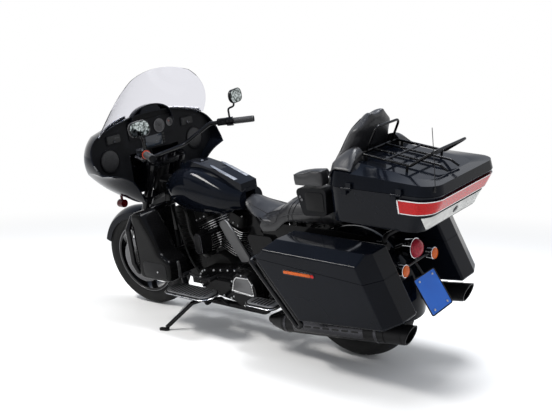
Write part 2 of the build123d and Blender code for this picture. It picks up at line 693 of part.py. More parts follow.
STAND_FOOT = Vector(1069, 413, 82)
with BuildPart() as side_stand:
    add(rod(STAND_PIVOT - STAND_AXIS * 15, STAND_PIVOT + STAND_AXIS * 15, 22))
    add(tube((STAND_PIVOT, STAND_PIVOT + Vector(40, 74, -6), STAND_FOOT + Vector(-6, -14, 12)), 12, 30))
    lean_up = Vector(0, -sin(radians(LEAN)), cos(radians(LEAN)))
    with BuildSketch(Plane(origin=STAND_FOOT, x_dir=(1, 0.4, 0), z_dir=lean_up)):
        RectangleRounded(58, 36, 16)
    extrude(amount=12)

with BuildPart() as bag_guards:
    for s in (1, -1):
        points = ((334, REAR_RAIL_HALF + 14, 600), (326, 398, 592), (66, 400, 284), (44, 400, 306),
                  (276, 396, 592), (300, REAR_RAIL_HALF + 14, 606))
        add(tube([mirrored(p, s) for p in points], 12, 14))

# ---- Tank, console and seat ---------------------------------------------------------------
# Columns: distance forward, half width, underside, top
TANK_SECTIONS = (
    (1236, 88, 800, 872), (1160, 146, 742, 925), (1010, 166, 706, 950), (830, 146, 700, 905),
    (652, 92, 722, 838),
)


def tank_outline(half, low, top):
    """Four edges: flat belly, two full sides and a crowned top."""
    with BuildLine() as outline:
        Line((-half * 0.72, low), (half * 0.72, low))
        ThreePointArc((half * 0.72, low), (half, low + (top - low) * 0.42), (half * 0.62, top - 14))
        ThreePointArc((half * 0.62, top - 14), (0, top), (-half * 0.62, top - 14))
        ThreePointArc((-half * 0.62, top - 14), (-half, low + (top - low) * 0.42), (-half * 0.72, low))
    return outline.edges()


CONSOLE_HALF = 62.0
with BuildPart() as fuel_tank:
    for x, half, low, top in TANK_SECTIONS:
        with BuildSketch(across(x)):
            make_face(tank_outline(half, low, top))
    loft()
    tunnel = Plane(origin=(1375, 0, 850), x_dir=(0, 1, 0), z_dir=(790, 0, 78))
    with BuildSketch(tunnel):
        with Locations((0, -60)):
            Rectangle(2 * BACKBONE_R + 12, 2 * BACKBONE_R + 132)
    extrude(amount=-900, mode=Mode.SUBTRACT)
    with BuildSketch(Plane.XY.offset(728)):
        with Locations((870, 0)):
            Rectangle(440, 2 * 96)
    extrude(amount=-100, mode=Mode.SUBTRACT)

with BuildPart() as tank_console:
    with BuildSketch(side()):
        with BuildLine():
            Polyline((1120, 930), (1120, 962), (1010, 975), (830, 935), (656, 868), (656, 820), (830, 880),
                     (1010, 925), close=True)
        make_face()
    extrude(amount=CONSOLE_HALF, both=True)
    add(fuel_tank.part, mode=Mode.SUBTRACT)
    with BuildSketch(Plane.XY.offset(800)):
        with Locations((1040, 0)):
            RectangleRounded(118, 88, 18)
    extrude(amount=300, mode=Mode.SUBTRACT)

with BuildPart() as fuel_door:
    with BuildSketch(Plane.XY.offset(957)):
        with Locations((1040, 0)):
            RectangleRounded(118 - 2 * SHUT_GAP, 88 - 2 * SHUT_GAP, 16)
    extrude(amount=14)

# Columns: distance forward, half width, underside, top
SEAT_SECTIONS = (
    (648, 78, 720, 812), (560, 122, 690, 768), (450, 168, 618, 742), (350, 174, 640, 775),
    (275, 170, 690, 832), (120, 168, 702, 856), (-20, 160, 702, 862),
)
with BuildPart() as seat:
    for x, half, low, top in SEAT_SECTIONS:
        with BuildSketch(across(x)):
            make_face(tank_outline(half, low, top))
    loft(ruled=True)
    with BuildSketch(side()):
        with BuildLine():
            Polyline((680, 500), (680, 782), (610, 733), (530, 712), (-60, 712), (-60, 500), close=True)
        make_face()
    extrude(amount=REAR_RAIL_HALF + FRAME_R + 3, both=True, mode=Mode.SUBTRACT)

# ---- Saddlebags ---------------------------------------------------------------------------
BAG_FRONT_FOOT = (40.0, 335.0)
BAG_REAR_FOOT = (-480.0, 379.0)
BAG_LID_FRONT = (176.0, 706.0)
BAG_LID_REAR = (-345.0, 692.0)
SEAM_GAP = SHUT_GAP / 2
BAG_CORNER = (95.0, 40.0)       # bevel of the bag's rear corner: across it, into it
LID_BEVEL = (64.0, 42.0)        # bevel of the lid's outer edge: across it, down


def along_seam(up):
    """Front and rear point of the seam, shifted up."""
    return [(x, z + up) for x, z in SEAM]


BAG_BODY = (along_seam(-SEAM_GAP)[0], BAG_FRONT_FOOT, BAG_REAR_FOOT, along_seam(-SEAM_GAP)[1])
BAG_LID = (along_seam(SEAM_GAP)[0], BAG_LID_FRONT, BAG_LID_REAR, along_seam(SEAM_GAP)[1])


def edge_bevel(start, end, s, reach, depth):
    """Wedge off the outer edge that runs from start to end: reach across the bag, depth into it."""
    first = Vector(start[0], 0, start[1])
    run = Vector(end[0], 0, end[1]) - first
    with BuildPart() as wedge:
        with BuildSketch(Plane(origin=first - run * 0.2, x_dir=(0, s, 0), z_dir=run)):
            with BuildLine():
                Polyline(
                    (BAG_OUT - 1.3 * reach, s * 0.3 * depth), (BAG_OUT + 0.3 * reach, -s * 1.3 * depth),
                    (BAG_OUT + 0.3 * reach, s * 0.3 * depth), close=True,
                )
            make_face()
        extrude(amount=run.length * 1.4)
    return wedge.part


def bag_case(outline, s, opening):
    """Hollow half of a saddlebag, with its side outline drawn out across the machine."""
    with BuildPart() as case:
        with BuildSketch(side(s * BAG_IN)):
            with BuildLine():
                Polyline(*outline, close=True)
            make_face()
        extrude(amount=-s * (BAG_OUT - BAG_IN))
        add(edge_bevel(BAG_REAR_FOOT, BAG_LID_REAR, s, *BAG_CORNER), mode=Mode.SUBTRACT)
        add(edge_bevel(BAG_LID_REAR, BAG_LID_FRONT, s, *LID_BEVEL), mode=Mode.SUBTRACT)
        rim_face = case.faces().sort_by(opening)[-1]
        soft = [e for e in case.edges() if e not in rim_face.edges()]
        fillet(soft, 12)
        rim_face = case.faces().sort_by(opening)[-1]
        offset(amount=-BAG_WALL, openings=rim_face)
    return case.part


SEAM_UP = Vector(SEAM[1][1] - SEAM[0][1], 0, SEAM[0][0] - SEAM[1][0]).normalized()
with BuildPart() as left_bag:
    add(bag_case(BAG_BODY, 1, Axis((0, 0, 0), SEAM_UP)))
with BuildPart() as right_bag:
    add(bag_case(BAG_BODY, -1, Axis((0, 0, 0), SEAM_UP)))
with BuildPart() as left_bag_lid:
    add(bag_case(BAG_LID, 1, Axis((0, 0, 0), -SEAM_UP)))
with BuildPart() as right_bag_lid:
    add(bag_case(BAG_LID, -1, Axis((0, 0, 0), -SEAM_UP)))

# ---- Trunk --------------------------------------------------------------------------------
def tilted(plane, up, slope):
    """Plane over another one, at this height over its origin and with this slope along the machine."""
    return Plane(
        origin=plane.origin + plane.z_dir * up, x_dir=plane.x_dir + plane.z_dir * slope,
        z_dir=plane.z_dir - plane.x_dir * slope,
    )


LEVEL = Plane(origin=(TRUNK_X, 0, TRUNK_SEAM_Z), x_dir=(1, 0, 0), z_dir=(0, 0, 1))
TRUNK = tilted(LEVEL, 0, sin(radians(TRUNK_TILT)))
LID_EDGE = tilted(TRUNK, 56, 0.052)     # edge between the lid's sides and its crown
LID_TOP = tilted(TRUNK, 72, 0.14)


def bowl_section(depth, grow):
    """Outline of the trunk's base at a depth under the seam, grown outwards."""
    share = depth / TRUNK_DEPTH
    with BuildSketch(TRUNK.offset(-depth)) as section:
        with Locations((45 * share, 0)):
            RectangleRounded(
                TRUNK_L - 90 * share + 2 * grow, TRUNK_W - 60 * share + 2 * grow,
                TRUNK_CORNER - 20 * share + grow,
            )
    return section.sketch


def bowl(top, bottom, grow):
    """Band of the trunk's base between two depths under the seam."""
    with BuildPart() as band:
        add(bowl_section(top, grow))
        add(bowl_section(bottom, grow))
        loft()
    return band.part


def cap(grow):
    """Body of the trunk's lid: steep sides, then a shallow crown."""
    with BuildPart() as shape:
        with BuildSketch(TRUNK.offset(SHUT_GAP / 2 - max(grow, 0))):
            RectangleRounded(TRUNK_L + 2 * grow, TRUNK_W + 2 * grow, TRUNK_CORNER + grow)
        with BuildSketch(LID_EDGE.offset(grow)):
            with Locations((-2, 0)):
                RectangleRounded(TRUNK_L - 16 + 2 * grow, TRUNK_W - 20 + 2 * grow, TRUNK_CORNER - 6 + grow)
        with BuildSketch(LID_TOP.offset(grow)):
            with Locations((-6, 0)):
                RectangleRounded(TRUNK_L - 150 + grow, TRUNK_W - 190 + grow, TRUNK_CORNER - 20)
        loft(ruled=True)
    return shape.part


# Distance forward of the trunk's centre of each hinge's middle
TRUNK_HINGES = (147.0, -106.0)
KNUCKLE = 26.0


def knuckle(x, up):
    """Half of a trunk hinge: a barrel on the hinge line, on a strap against the wall."""
    middle = TRUNK.origin + TRUNK.x_dir * x + Vector(0, HINGE_Y, 0)
    half = TRUNK.x_dir * (KNUCKLE / 2)
    with BuildPart() as piece:
        add(rod(middle - half, middle + half, HINGE_R))
        with BuildSketch(Plane(origin=middle - Vector(0, 4, 0), x_dir=TRUNK.x_dir, z_dir=(0, 1, 0))):
            with Locations((0, -up * 14)):
                Rectangle(KNUCKLE, 28)
        extrude(amount=6, both=True)
    return piece.part


with BuildPart() as trunk_base:
    add(bowl(SHUT_GAP / 2, TRUNK_DEPTH, 0))
    add(bowl(SHUT_GAP / 2, TRUNK_DEPTH - TRUNK_WALL, -TRUNK_WALL), mode=Mode.SUBTRACT)
    for x in TRUNK_HINGES:
        add(knuckle(x + KNUCKLE / 2 + SEAT_GAP, -1))

with BuildPart() as trunk_lid:
    add(cap(0))
    add(cap(-TRUNK_WALL), mode=Mode.SUBTRACT)
    for x in TRUNK_HINGES:
        add(knuckle(x - KNUCKLE / 2 - SEAT_GAP, 1))

DECK_UP = 26.0          # luggage rack over the lid
RAIL_Y = 150.0
with BuildPart() as luggage_rack:
    deck = LID_TOP.offset(DECK_UP)

    def on_deck(x, y, up=0.0):
        return deck.origin + deck.x_dir * x + deck.y_dir * y + deck.z_dir * up

    add(tube((on_deck(176, RAIL_Y), on_deck(-84, RAIL_Y), on_deck(-186, RAIL_Y - 6, 84),
              on_deck(-186, 6 - RAIL_Y, 84), on_deck(-84, -RAIL_Y), on_deck(176, -RAIL_Y)), RACK_R, 26))
    for y in (-50, 50):
        add(tube((on_deck(176, y), on_deck(-168, y), on_deck(-210, y, -17)), RACK_R - 1, 24))
    for x in (172, 40, -76):
        add(rod(on_deck(x, RAIL_Y), on_deck(x, -RAIL_Y), RACK_R - 1.5))
    hoop = (on_deck(172, 104), on_deck(134, 98, 118), on_deck(134, -98, 118), on_deck(172, -104))
    add(tube(hoop, RACK_R - 0.5, 30))
    for x in (140, -70):
        for y in (-RAIL_Y, RAIL_Y):
            add(rod(on_deck(x, y, SEAT_GAP - DECK_UP), on_deck(x, y), 6))

LAMP_BAND = (24.0, 80.0)    # depths under the seam
LAMP_END = -109.0
with BuildPart() as trunk_lamps:
    add(bowl(*LAMP_BAND, 9))
    add(bowl(LAMP_BAND[0] - 4, LAMP_BAND[1] + 4, SEAT_GAP), mode=Mode.SUBTRACT)
    with BuildSketch(TRUNK.offset(-TRUNK_DEPTH)):
        with Locations((LAMP_END + 400, 0)):
            Rectangle(800, TRUNK_W + 80)
    extrude(amount=TRUNK_DEPTH, mode=Mode.SUBTRACT)

with BuildPart() as speaker_pods:
    for s in (1, -1):
        with BuildSketch(side(s * 200)):
            with BuildLine():
                FilletPolyline((96, 938), (-84, 944), (-76, 812), (60, 806), radius=24, close=True)
            make_face()
        extrude(amount=-s * 72)

with BuildPart() as arm_rests:
    for s in (1, -1):
        with BuildSketch(side(s * 208)):
            with BuildLine():
                FilletPolyline((100, 945), (104, 1010), (-8, 1034), (-80, 1034), (-80, 949), (-60, 944.5),
                               (-10, 942.5), radius=3, close=True)
            make_face()
        extrude(amount=-s * 76)

# Columns: height, distance forward, depth, width, corner radius
BACKREST_SECTIONS = (
    (863, 2, 84, 336, 40), (950, -35, 84, 352, 40), (1080, -120, 88, 370, 42), (1190, -180, 76, 300, 36),
    (1262, -212, 44, 130, 20),
)
with BuildPart() as backrest:
    for z, x, depth, width, corner in BACKREST_SECTIONS:
        with BuildSketch(Plane.XY.offset(z)):
            with Locations((x, 0)):
                RectangleRounded(depth, width, corner)
    loft(ruled=True)
    add(cap(SEAT_GAP), mode=Mode.SUBTRACT)

# ---- Rear fender, lamps and plate ---------------------------------------------------------
REAR_FENDER_R = 355.0
REAR_FENDER_HALF = 106.0
REAR_FENDER_T = 4.0
REAR_FENDER_EDGE = 292.0    # radius of its lower edges
REAR_FENDER_SIDE = 330.0    # radius where the sides meet the crown
with BuildPart() as rear_fender:
    start = axle_section(0.0).rotated((0, 90 - 52, 0))
    with BuildSketch(start):
        half, inner = REAR_FENDER_HALF, REAR_FENDER_HALF - REAR_FENDER_T
        edge, side_r = REAR_FENDER_EDGE, REAR_FENDER_SIDE
        with BuildLine():
            Line((-half, edge), (-half, side_r))
            ThreePointArc((-half, side_r), (0, REAR_FENDER_R + REAR_FENDER_T), (half, side_r))
            Line((half, side_r), (half, edge))
            Line((half, edge), (inner, edge))
            Line((inner, edge), (inner, side_r - 2))
            ThreePointArc((inner, side_r - 2), (0, REAR_FENDER_R), (-inner, side_r - 2))
            Line((-inner, side_r - 2), (-inner, edge))
            Line((-inner, edge), (-half, edge))
        make_face()
    revolve(axis=axle_axis(0.0), revolution_arc=-138)

LAMP_AT = Vector(-352, 0, 606)
SIGNAL_AT = Vector(-366, 130, 540)
with BuildPart() as tail_lamps:
    add(rod(Vector(-262, 0, 585), LAMP_AT, 26))
    with BuildSketch(Plane(origin=LAMP_AT, x_dir=(1, 0, 0), z_dir=(0, -1, 0))):
        with BuildLine():
            Polyline((-42, 0), (42, 0), (42, 40), (-6, 47))
            ThreePointArc((-6, 47), (-32, 33), (-42, 0))
        make_face()
    revolve(axis=Axis(LAMP_AT, (1, 0, 0)))
    add(rod(mirrored(SIGNAL_AT, 1) + Vector(14, 0, 0), mirrored(SIGNAL_AT, -1) + Vector(14, 0, 0), 9))
    add(rod(LAMP_AT + Vector(0, 0, -40), (-350, 0, 540), 10))
    for s in (1, -1):
        with BuildSketch(Plane.YZ.offset(SIGNAL_AT.X - 12)):
            with Locations((s * SIGNAL_AT.Y, SIGNAL_AT.Z)):
                Circle(30)
        extrude(amount=34)

PLATE_TOP = Vector(-390, 0, 480)
PLATE_FOOT = Vector(-478, 0, 322)
with BuildPart() as plate:
    down = (PLATE_FOOT - PLATE_TOP).normalized()
    sheet = Plane(origin=(PLATE_TOP + PLATE_FOOT) * 0.5, x_dir=(0, 1, 0), z_dir=down.cross(Vector(0, 1, 0)))
    with BuildSketch(sheet):
        RectangleRounded(180, (PLATE_FOOT - PLATE_TOP).length, 8)
    extrude(amount=1.5, both=True)

with BuildPart() as side_covers:
    for s in (1, -1):
        with BuildSketch(side(s * 156)):
            with BuildLine():
                FilletPolyline((735, 675), (700, 690), (560, 505), (556, 475), (598, 470), (728, 630),
                               radius=12, close=True)
            make_face()
        extrude(amount=-s * 12)
        with BuildSketch(side(s * 163)):
            with BuildLine():
                FilletPolyline((560, 632), (376, 632), (376, 470), (500, 470), radius=24, close=True)
            make_face()
        extrude(amount=-s * 10)

# ---- Fairing ------------------------------------------------------------------------------
# Columns: distance forward, then half width and height of the chin, the cheek's hollow, the wing's
# tip, the widest point and the shoulder, and the height of the crown
FAIRING_SECTIONS = (
    (1262, 205, 767, 280, 902, 472, 962, 480, 1036, 404, 1168, 1248),
    (1440, 180, 745, 320, 858, 455, 985, 465, 1080, 385, 1180, 1250),
    (1600, 110, 760, 260, 850, 350, 940, 356, 1020, 290, 1155, 1190),
    (1728, 50, 840, 130, 880, 186, 930, 190, 985, 130, 1085, 1100),
)
# Edge of the fairing towards the rider, from the side
FAIRING_EDGE = (
    (1310, 700), (1310, 765), (1278, 900), (1290, 965), (1340, 1040), (1375, 1120), (1386, 1171),
    (1386, 1300),
)


def fairing_outline(chin, chin_z, cheek, cheek_z, wing, wing_z, wide, wide_z, top, top_z, crown, inset=0.0):
    """Six edges: flat chin, cheeks, full shoulders and an arched brow."""
    low = (chin - inset, chin_z + inset)
    hollow = (cheek - inset * 0.8, cheek_z + inset * 0.8)
    tip = (wing - inset, wing_z + inset)
    full = (wide - inset, wide_z)
    shoulder = (top - inset * 0.8, top_z - inset * 0.6)
    with BuildLine() as outline:
        Line((-low[0], low[1]), low)
        ThreePointArc(low, hollow, tip)
        ThreePointArc(tip, full, shoulder)
        ThreePointArc(shoulder, (0, crown - inset), (-shoulder[0], shoulder[1]))
        ThreePointArc((-shoulder[0], shoulder[1]), (-full[0], full[1]), (-tip[0], tip[1]))
        ThreePointArc((-tip[0], tip[1]), (-hollow[0], hollow[1]), (-low[0], low[1]))
    return outline.edges()


def fairing_loft(inset):
    """Body of the fairing, its skin moved inwards by inset."""
    first = FAIRING_SECTIONS[0][0]
    with BuildPart() as body:
        for x, *values in FAIRING_SECTIONS:
            with BuildSketch(across(x - (inset if x > first else 0))):
                make_face(fairing_outline(*values, inset))
        loft()
    return body.part


fairing_solid = fairing_loft(-SEAT_GAP)
fairing_inside = fairing_loft(FAIRING_WALL)
FORK_SLOT_X = (1235.0, 1565.0)
FORK_SLOT_HALF = 190.0
FORK_SLOT_Z = (700.0, 910.0)
LAMP_R = 54.0
LAMP_Z = 938.0
LAMP_HALF = 92.0
LAMP_X = (1702.0, 1735.0)
# Columns: height, distance forward, length, width of the cowl over the gauges
COWL_SECTIONS = ((1190, 1424, 92, 224), (1250, 1409, 62, 176), (1290, 1396, 36, 120))


def fork_slot(top):
    """Room for the fork at full lock, up to a height."""
    with BuildPart() as room:
        with BuildSketch(Plane.XY.offset(FORK_SLOT_Z[0])):
            with Locations((sum(FORK_SLOT_X) / 2, 0)):
                Rectangle(FORK_SLOT_X[1] - FORK_SLOT_X[0], 2 * FORK_SLOT_HALF)
        extrude(amount=top - FORK_SLOT_Z[0])
    return room.part


def cowl():
    """Rounded cowl on the fairing's crown, over the gauges."""
    with BuildPart() as hood:
        for z, x, length, width in COWL_SECTIONS:
            with BuildSketch(Plane.XY.offset(z)):
                with Locations((x, 0)):
                    RectangleRounded(length, width, min(length, width) * 0.3)
        loft()
        add(fairing_inside, mode=Mode.SUBTRACT)
    return hood.part


with BuildPart() as fairing_shell:
    add(fairing_loft(0))
    add(fairing_inside, mode=Mode.SUBTRACT)
    add(fork_slot(FORK_SLOT_Z[1]), mode=Mode.SUBTRACT)
    with BuildSketch(side()):
        with BuildLine():
            Polyline((1200, 700), *FAIRING_EDGE, (1200, 1300), close=True)
        make_face()
    extrude(amount=600, both=True, mode=Mode.SUBTRACT)
    with BuildSketch(across(LAMP_X[0])):
        with Locations((LAMP_HALF, LAMP_Z), (-LAMP_HALF, LAMP_Z)):
            Circle(LAMP_R + SEAT_GAP)
    extrude(amount=LAMP_X[1] - LAMP_X[0], mode=Mode.SUBTRACT)
    add(cowl())

with BuildPart() as headlamps:
    for s in (1, -1):
        with BuildSketch(across(LAMP_X[0])):
            with Locations((s * LAMP_HALF, LAMP_Z)):
                Circle(LAMP_R)
        extrude(amount=LAMP_X[1] - LAMP_X[0])

DASH_PANEL_T = 8.0
# Columns: distance to the left, height, radius, depth of each gauge or speaker ring
DASH_RINGS = (
    (56, 1160, 42, 10), (-56, 1160, 42, 10), (140, 1166, 26, 9), (-140, 1166, 26, 9),
    (330, 1030, 68, 6), (-330, 1030, 68, 6),
)
# Columns: distance to the left, height, width, height, how far it stands out of panels and boxes
DASH_BOXES = (
    (0, 1162, 352, 104, 6), (0, 1080, 176, 82, 8), (285, 1145, 104, 56, 5), (-285, 1145, 104, 56, 5),
)
RING_W = 6.0
with BuildPart() as fairing_dash:
    with BuildSketch(across(DASH_X)):
        with Locations((0, 1100)):
            Rectangle(1200, 800)
    extrude(amount=DASH_PANEL_T)
    add(fairing_loft(FAIRING_WALL + SEAT_GAP), mode=Mode.INTERSECT)
    for y, z, width, height, out in DASH_BOXES:
        with BuildSketch(across(DASH_X)):
            with Locations((y, z)):
                RectangleRounded(width, height, 12)
        extrude(amount=-out)
    for y, z, radius, out in DASH_RINGS:
        with BuildSketch(across(DASH_X)):
            with Locations((y, z)):
                Circle(radius)
                Circle(radius - RING_W, mode=Mode.SUBTRACT)
        extrude(amount=-out)
    add(fork_slot(DASH_SLOT_Z), mode=Mode.SUBTRACT)

# Columns: half width, height of the screen's edge from the front
SHIELD_EDGE = ((404, 1171), (323, 1371), (215, 1465), (0, 1505))
with BuildPart() as windshield:
    foot_arc = ThreePointArc((1361, 430, 1165), (1540, 0, 1165), (1361, -430, 1165), mode=Mode.PRIVATE)
    top_arc = ThreePointArc((1121, 330, 1510), (1250, 0, 1510), (1121, -330, 1510), mode=Mode.PRIVATE)
    thicken(Face.make_surface_from_curves(foot_arc, top_arc), amount=SHIELD_T)
    with BuildSketch(across(1000)):
        with BuildLine():
            foot, waist, corner, peak = SHIELD_EDGE
            Polyline((-foot[0], foot[1]), (-420, 1120), (420, 1120), foot)
            ThreePointArc(foot, waist, corner)
            ThreePointArc(corner, peak, (-corner[0], corner[1]))
            ThreePointArc((-corner[0], corner[1]), (-waist[0], waist[1]), (-foot[0], foot[1]))
        make_face()
    extrude(amount=800, mode=Mode.INTERSECT)
    add(fairing_solid, mode=Mode.SUBTRACT)

SIGNAL_HALF = 214.0
SIGNAL_Z = 738.0
with BuildPart() as front_signals:
    for s in (1, -1):
        with BuildSketch(across(1500)):
            with Locations((s * SIGNAL_HALF, SIGNAL_Z)):
                Circle(24)
        extrude(amount=44)
        add(rod((1520, s * SIGNAL_HALF, SIGNAL_Z), (1520, s * SIGNAL_HALF, SIGNAL_Z + 120), 8))
    add(fairing_solid, mode=Mode.SUBTRACT)

# ---- Parked stance ------------------------------------------------------------------------
STEERED = ("forks", "front_fender", "brake_calipers", "handlebar", "mirrors", "front_tyre", "front_rim")
PIECES = dict(
    frame=frame, swingarm=swingarm, drive_belt=drive_belt, engine_cases=engine_cases, cylinders=cylinders,
    primary_cover=primary_cover, air_cleaner=air_cleaner, horn_cover=horn_cover, exhaust=exhaust,
    engine_guard=engine_guard, leg_shields=leg_shields, floorboards=floorboards, bag_guards=bag_guards,
    fuel_tank=fuel_tank, tank_console=tank_console, fuel_door=fuel_door, seat=seat, backrest=backrest,
    side_covers=side_covers, rear_fender=rear_fender, tail_lamps=tail_lamps, plate=plate,
    left_bag=left_bag, right_bag=right_bag, left_bag_lid=left_bag_lid, right_bag_lid=right_bag_lid,
    trunk_base=trunk_base, trunk_lid=trunk_lid, luggage_rack=luggage_rack, trunk_lamps=trunk_lamps,
    speaker_pods=speaker_pods, arm_rests=arm_rests, fairing_shell=fairing_shell, fairing_dash=fairing_dash,
    windshield=windshield, headlamps=headlamps, front_signals=front_signals, side_stand=side_stand,
    forks=forks, front_fender=front_fender, brake_calipers=brake_calipers, handlebar=handlebar,
    mirrors=mirrors,
    front_tyre=front_tyre, front_rim=front_rim, rear_tyre=rear_tyre, rear_rim=rear_rim,
)


def turn(vector, axis, angle):
    """Vector turned about a direction by an angle in degrees."""
    a, n = radians(angle), axis.normalized()
    return vector * cos(a) + n.cross(vector) * sin(a) + n * (n.dot(vector) * (1 - cos(a)))


def lowest(centre, axle, crown_r):
    """Height of the lowest point of a round-treaded tyre with this centre and axle direction."""
    return centre.Z - (TYRE_R - crown_r) * sqrt(1 - axle.normalized().Z ** 2) - crown_r


ACROSS = Vector(0, 1, 0)
ALONG = Vector(1, 0, 0)
steered_axle = STEM_FOOT + turn(FRONT_AXLE - STEM_FOOT, UP_FORK, STEER)
steered_across = turn(turn(ACROSS, UP_FORK, STEER), ALONG, -LEAN)
front_low = lowest(turn(steered_axle, ALONG, -LEAN), steered_across, FRONT_CROWN_R)
rear_low = lowest(turn(Vector(0, 0, TYRE_R), ALONG, -LEAN), turn(ACROSS, ALONG, -LEAN), REAR_CROWN_R)
PITCH = degrees(atan2(front_low - rear_low, WHEELBASE))
park = Location((0, 0, -rear_low)) * Location((0, 0, 0), (0, PITCH, 0)) * Location((0, 0, 0), (-LEAN, 0, 0))
about_stem = Location(STEM_FOOT) * Location(Plane(origin=(0, 0, 0), z_dir=UP_FORK))
steer = about_stem * Location((0, 0, 0), (0, 0, STEER)) * about_stem.inverse()

parked = {}
for name, piece in PIECES.items():
    parked[name] = piece.part.moved(park * steer if name in STEERED else park)
boxes = [piece.bounding_box() for piece in parked.values()]
centre_x = (min(b.min.X for b in boxes) + max(b.max.X for b in boxes)) / 2
centre_y = (min(b.min.Y for b in boxes) + max(b.max.Y for b in boxes)) / 2
floor_z = min(b.min.Z for b in boxes)
home = Location((-centre_x, -centre_y, -floor_z))
os.makedirs("parts", exist_ok=True)
for name, piece in parked.items():
    placed = piece.moved(home)
    placed.label = name
    export_step(placed, f"parts/{name}.step")
print("pitch", PITCH, "origin moved by", -centre_x, -centre_y, -floor_z)
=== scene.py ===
"""Looks of a black touring cruiser motorcycle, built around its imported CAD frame.

Pieces are modelled upright in millimetres, as the CAD is: +X forward from the rear axle, +Y to the
rider's left, +Z up. Each is then leaned over with the parked machine, or turned with the steering.
"""
import json
from math import atan2, cos, pi, radians, sin

import bmesh
import bpy
from mathutils import Matrix, Vector
from mathutils.bvhtree import BVHTree

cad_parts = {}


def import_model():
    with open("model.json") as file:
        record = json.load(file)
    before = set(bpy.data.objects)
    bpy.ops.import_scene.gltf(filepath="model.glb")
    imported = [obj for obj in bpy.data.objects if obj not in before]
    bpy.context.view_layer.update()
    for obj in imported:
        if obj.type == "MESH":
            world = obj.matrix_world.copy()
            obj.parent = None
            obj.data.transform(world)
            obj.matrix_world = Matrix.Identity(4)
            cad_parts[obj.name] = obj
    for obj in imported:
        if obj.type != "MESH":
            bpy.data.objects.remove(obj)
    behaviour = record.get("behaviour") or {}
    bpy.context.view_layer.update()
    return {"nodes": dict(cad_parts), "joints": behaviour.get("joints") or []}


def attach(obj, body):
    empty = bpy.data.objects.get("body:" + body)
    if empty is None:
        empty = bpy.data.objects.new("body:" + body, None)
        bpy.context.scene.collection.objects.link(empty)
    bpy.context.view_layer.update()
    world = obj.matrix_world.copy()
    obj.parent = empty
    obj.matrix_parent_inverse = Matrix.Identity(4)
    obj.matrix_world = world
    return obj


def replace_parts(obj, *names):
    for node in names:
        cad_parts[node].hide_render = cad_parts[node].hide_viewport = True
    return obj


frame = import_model()
NODES = frame["nodes"]
JOINTS = {joint["name"]: joint for joint in frame["joints"]}

# ---- Stance
MM = 0.001
RAKE = radians(26)
TYRE_R = 320.0
WHEELBASE = 1625.0
SETBACK = 15.0


def columns(*vectors):
    """Matrix with these vectors as its columns."""
    return Matrix([list(v) for v in vectors]).transposed()


AXLE = Vector(JOINTS["rear_wheel_spin"]["axis"])
STEM = Vector(JOINTS["steering_turn"]["axis"])
UP_FORK = Vector((-sin(RAKE), 0, cos(RAKE)))
FORWARD = Vector((cos(RAKE), 0, sin(RAKE)))
LEFT = Vector((0, 1, 0))
turn = columns(AXLE.cross(STEM), AXLE, STEM) @ columns(FORWARD, LEFT, UP_FORK).transposed()
rear_axle = Vector(JOINTS["rear_wheel_spin"]["pos_m"])
UPRIGHT = Matrix.Translation(rear_axle - turn @ Vector((0, 0, TYRE_R)) * MM) @ turn.to_4x4() @ Matrix.Scale(MM, 4)
FRONT_AXLE = Vector((WHEELBASE, 0, TYRE_R))
STEM_FOOT = FRONT_AXLE + FORWARD * SETBACK
front_axle_way = turn.transposed() @ Vector(JOINTS["front_wheel_spin"]["axis"])
STEERED = UPRIGHT @ Matrix.Translation(STEM_FOOT) @ Matrix.Rotation(
    LEFT.angle(front_axle_way), 4, UP_FORK) @ Matrix.Translation(-STEM_FOOT)
TURNED = {"steering", "front_wheel"}


def stance(body):
    """Matrix from upright millimetres to the row frame, for a piece of this body."""
    return STEERED if body in TURNED else UPRIGHT

# ---- Materials
def new_material(name, colour, roughness, metallic=0.0, **sockets):
    """Principled material; further sockets are given by name with underscores for spaces."""
    mat = bpy.data.materials.new(name)
    mat.use_nodes = True
    shader = mat.node_tree.nodes["Principled BSDF"]
    for key, value in {"Base_Color": (*colour, 1), "Roughness": roughness, "Metallic": metallic, **sockets}.items():
        shader.inputs[key.replace("_", " ")].default_value = value
    mat.diffuse_color = (*colour, 1)
    return mat


def shader_node(nodes, kind, operation=None, **values):
    """Shader node; its inputs' values are given by name with underscores for spaces."""
    node = nodes.new("ShaderNode" + kind)
    if operation:
        node.operation = operation
    for key, value in values.items():
        node.inputs[key.replace("_", " ")].default_value = value
    return node


def tree(mat):
    nodes, links = mat.node_tree.nodes, mat.node_tree.links
    return nodes, links, nodes["Principled BSDF"]


def texture(mat, kind, scale, **values):
    """First output of a procedural texture in the row frame's metres."""
    nodes, links, _ = tree(mat)
    where = nodes.get("Where") or shader_node(nodes, "TexCoord")
    where.name = "Where"
    tex = shader_node(nodes, "Tex" + kind, Scale=scale, **values)
    links.new(where.outputs["Object"], tex.inputs["Vector"])
    return tex.outputs[0]


def noise(mat, scale, detail=2, **values):
    return texture(mat, "Noise", scale, Detail=detail, **values)


def cells(mat, scale):
    return texture(mat, "Voronoi", scale)


def add_bump(mat, height, strength, distance):
    """Surface relief from a texture, on top of any relief that is there."""
    nodes, links, shader = tree(mat)
    bump = shader_node(nodes, "Bump", Strength=strength, Distance=distance)
    links.new(height, bump.inputs["Height"])
    before = [link.from_socket for link in links if link.to_socket == shader.inputs["Normal"]]
    if before:
        links.new(before[0], bump.inputs["Normal"])
    links.new(bump.outputs["Normal"], shader.inputs["Normal"])


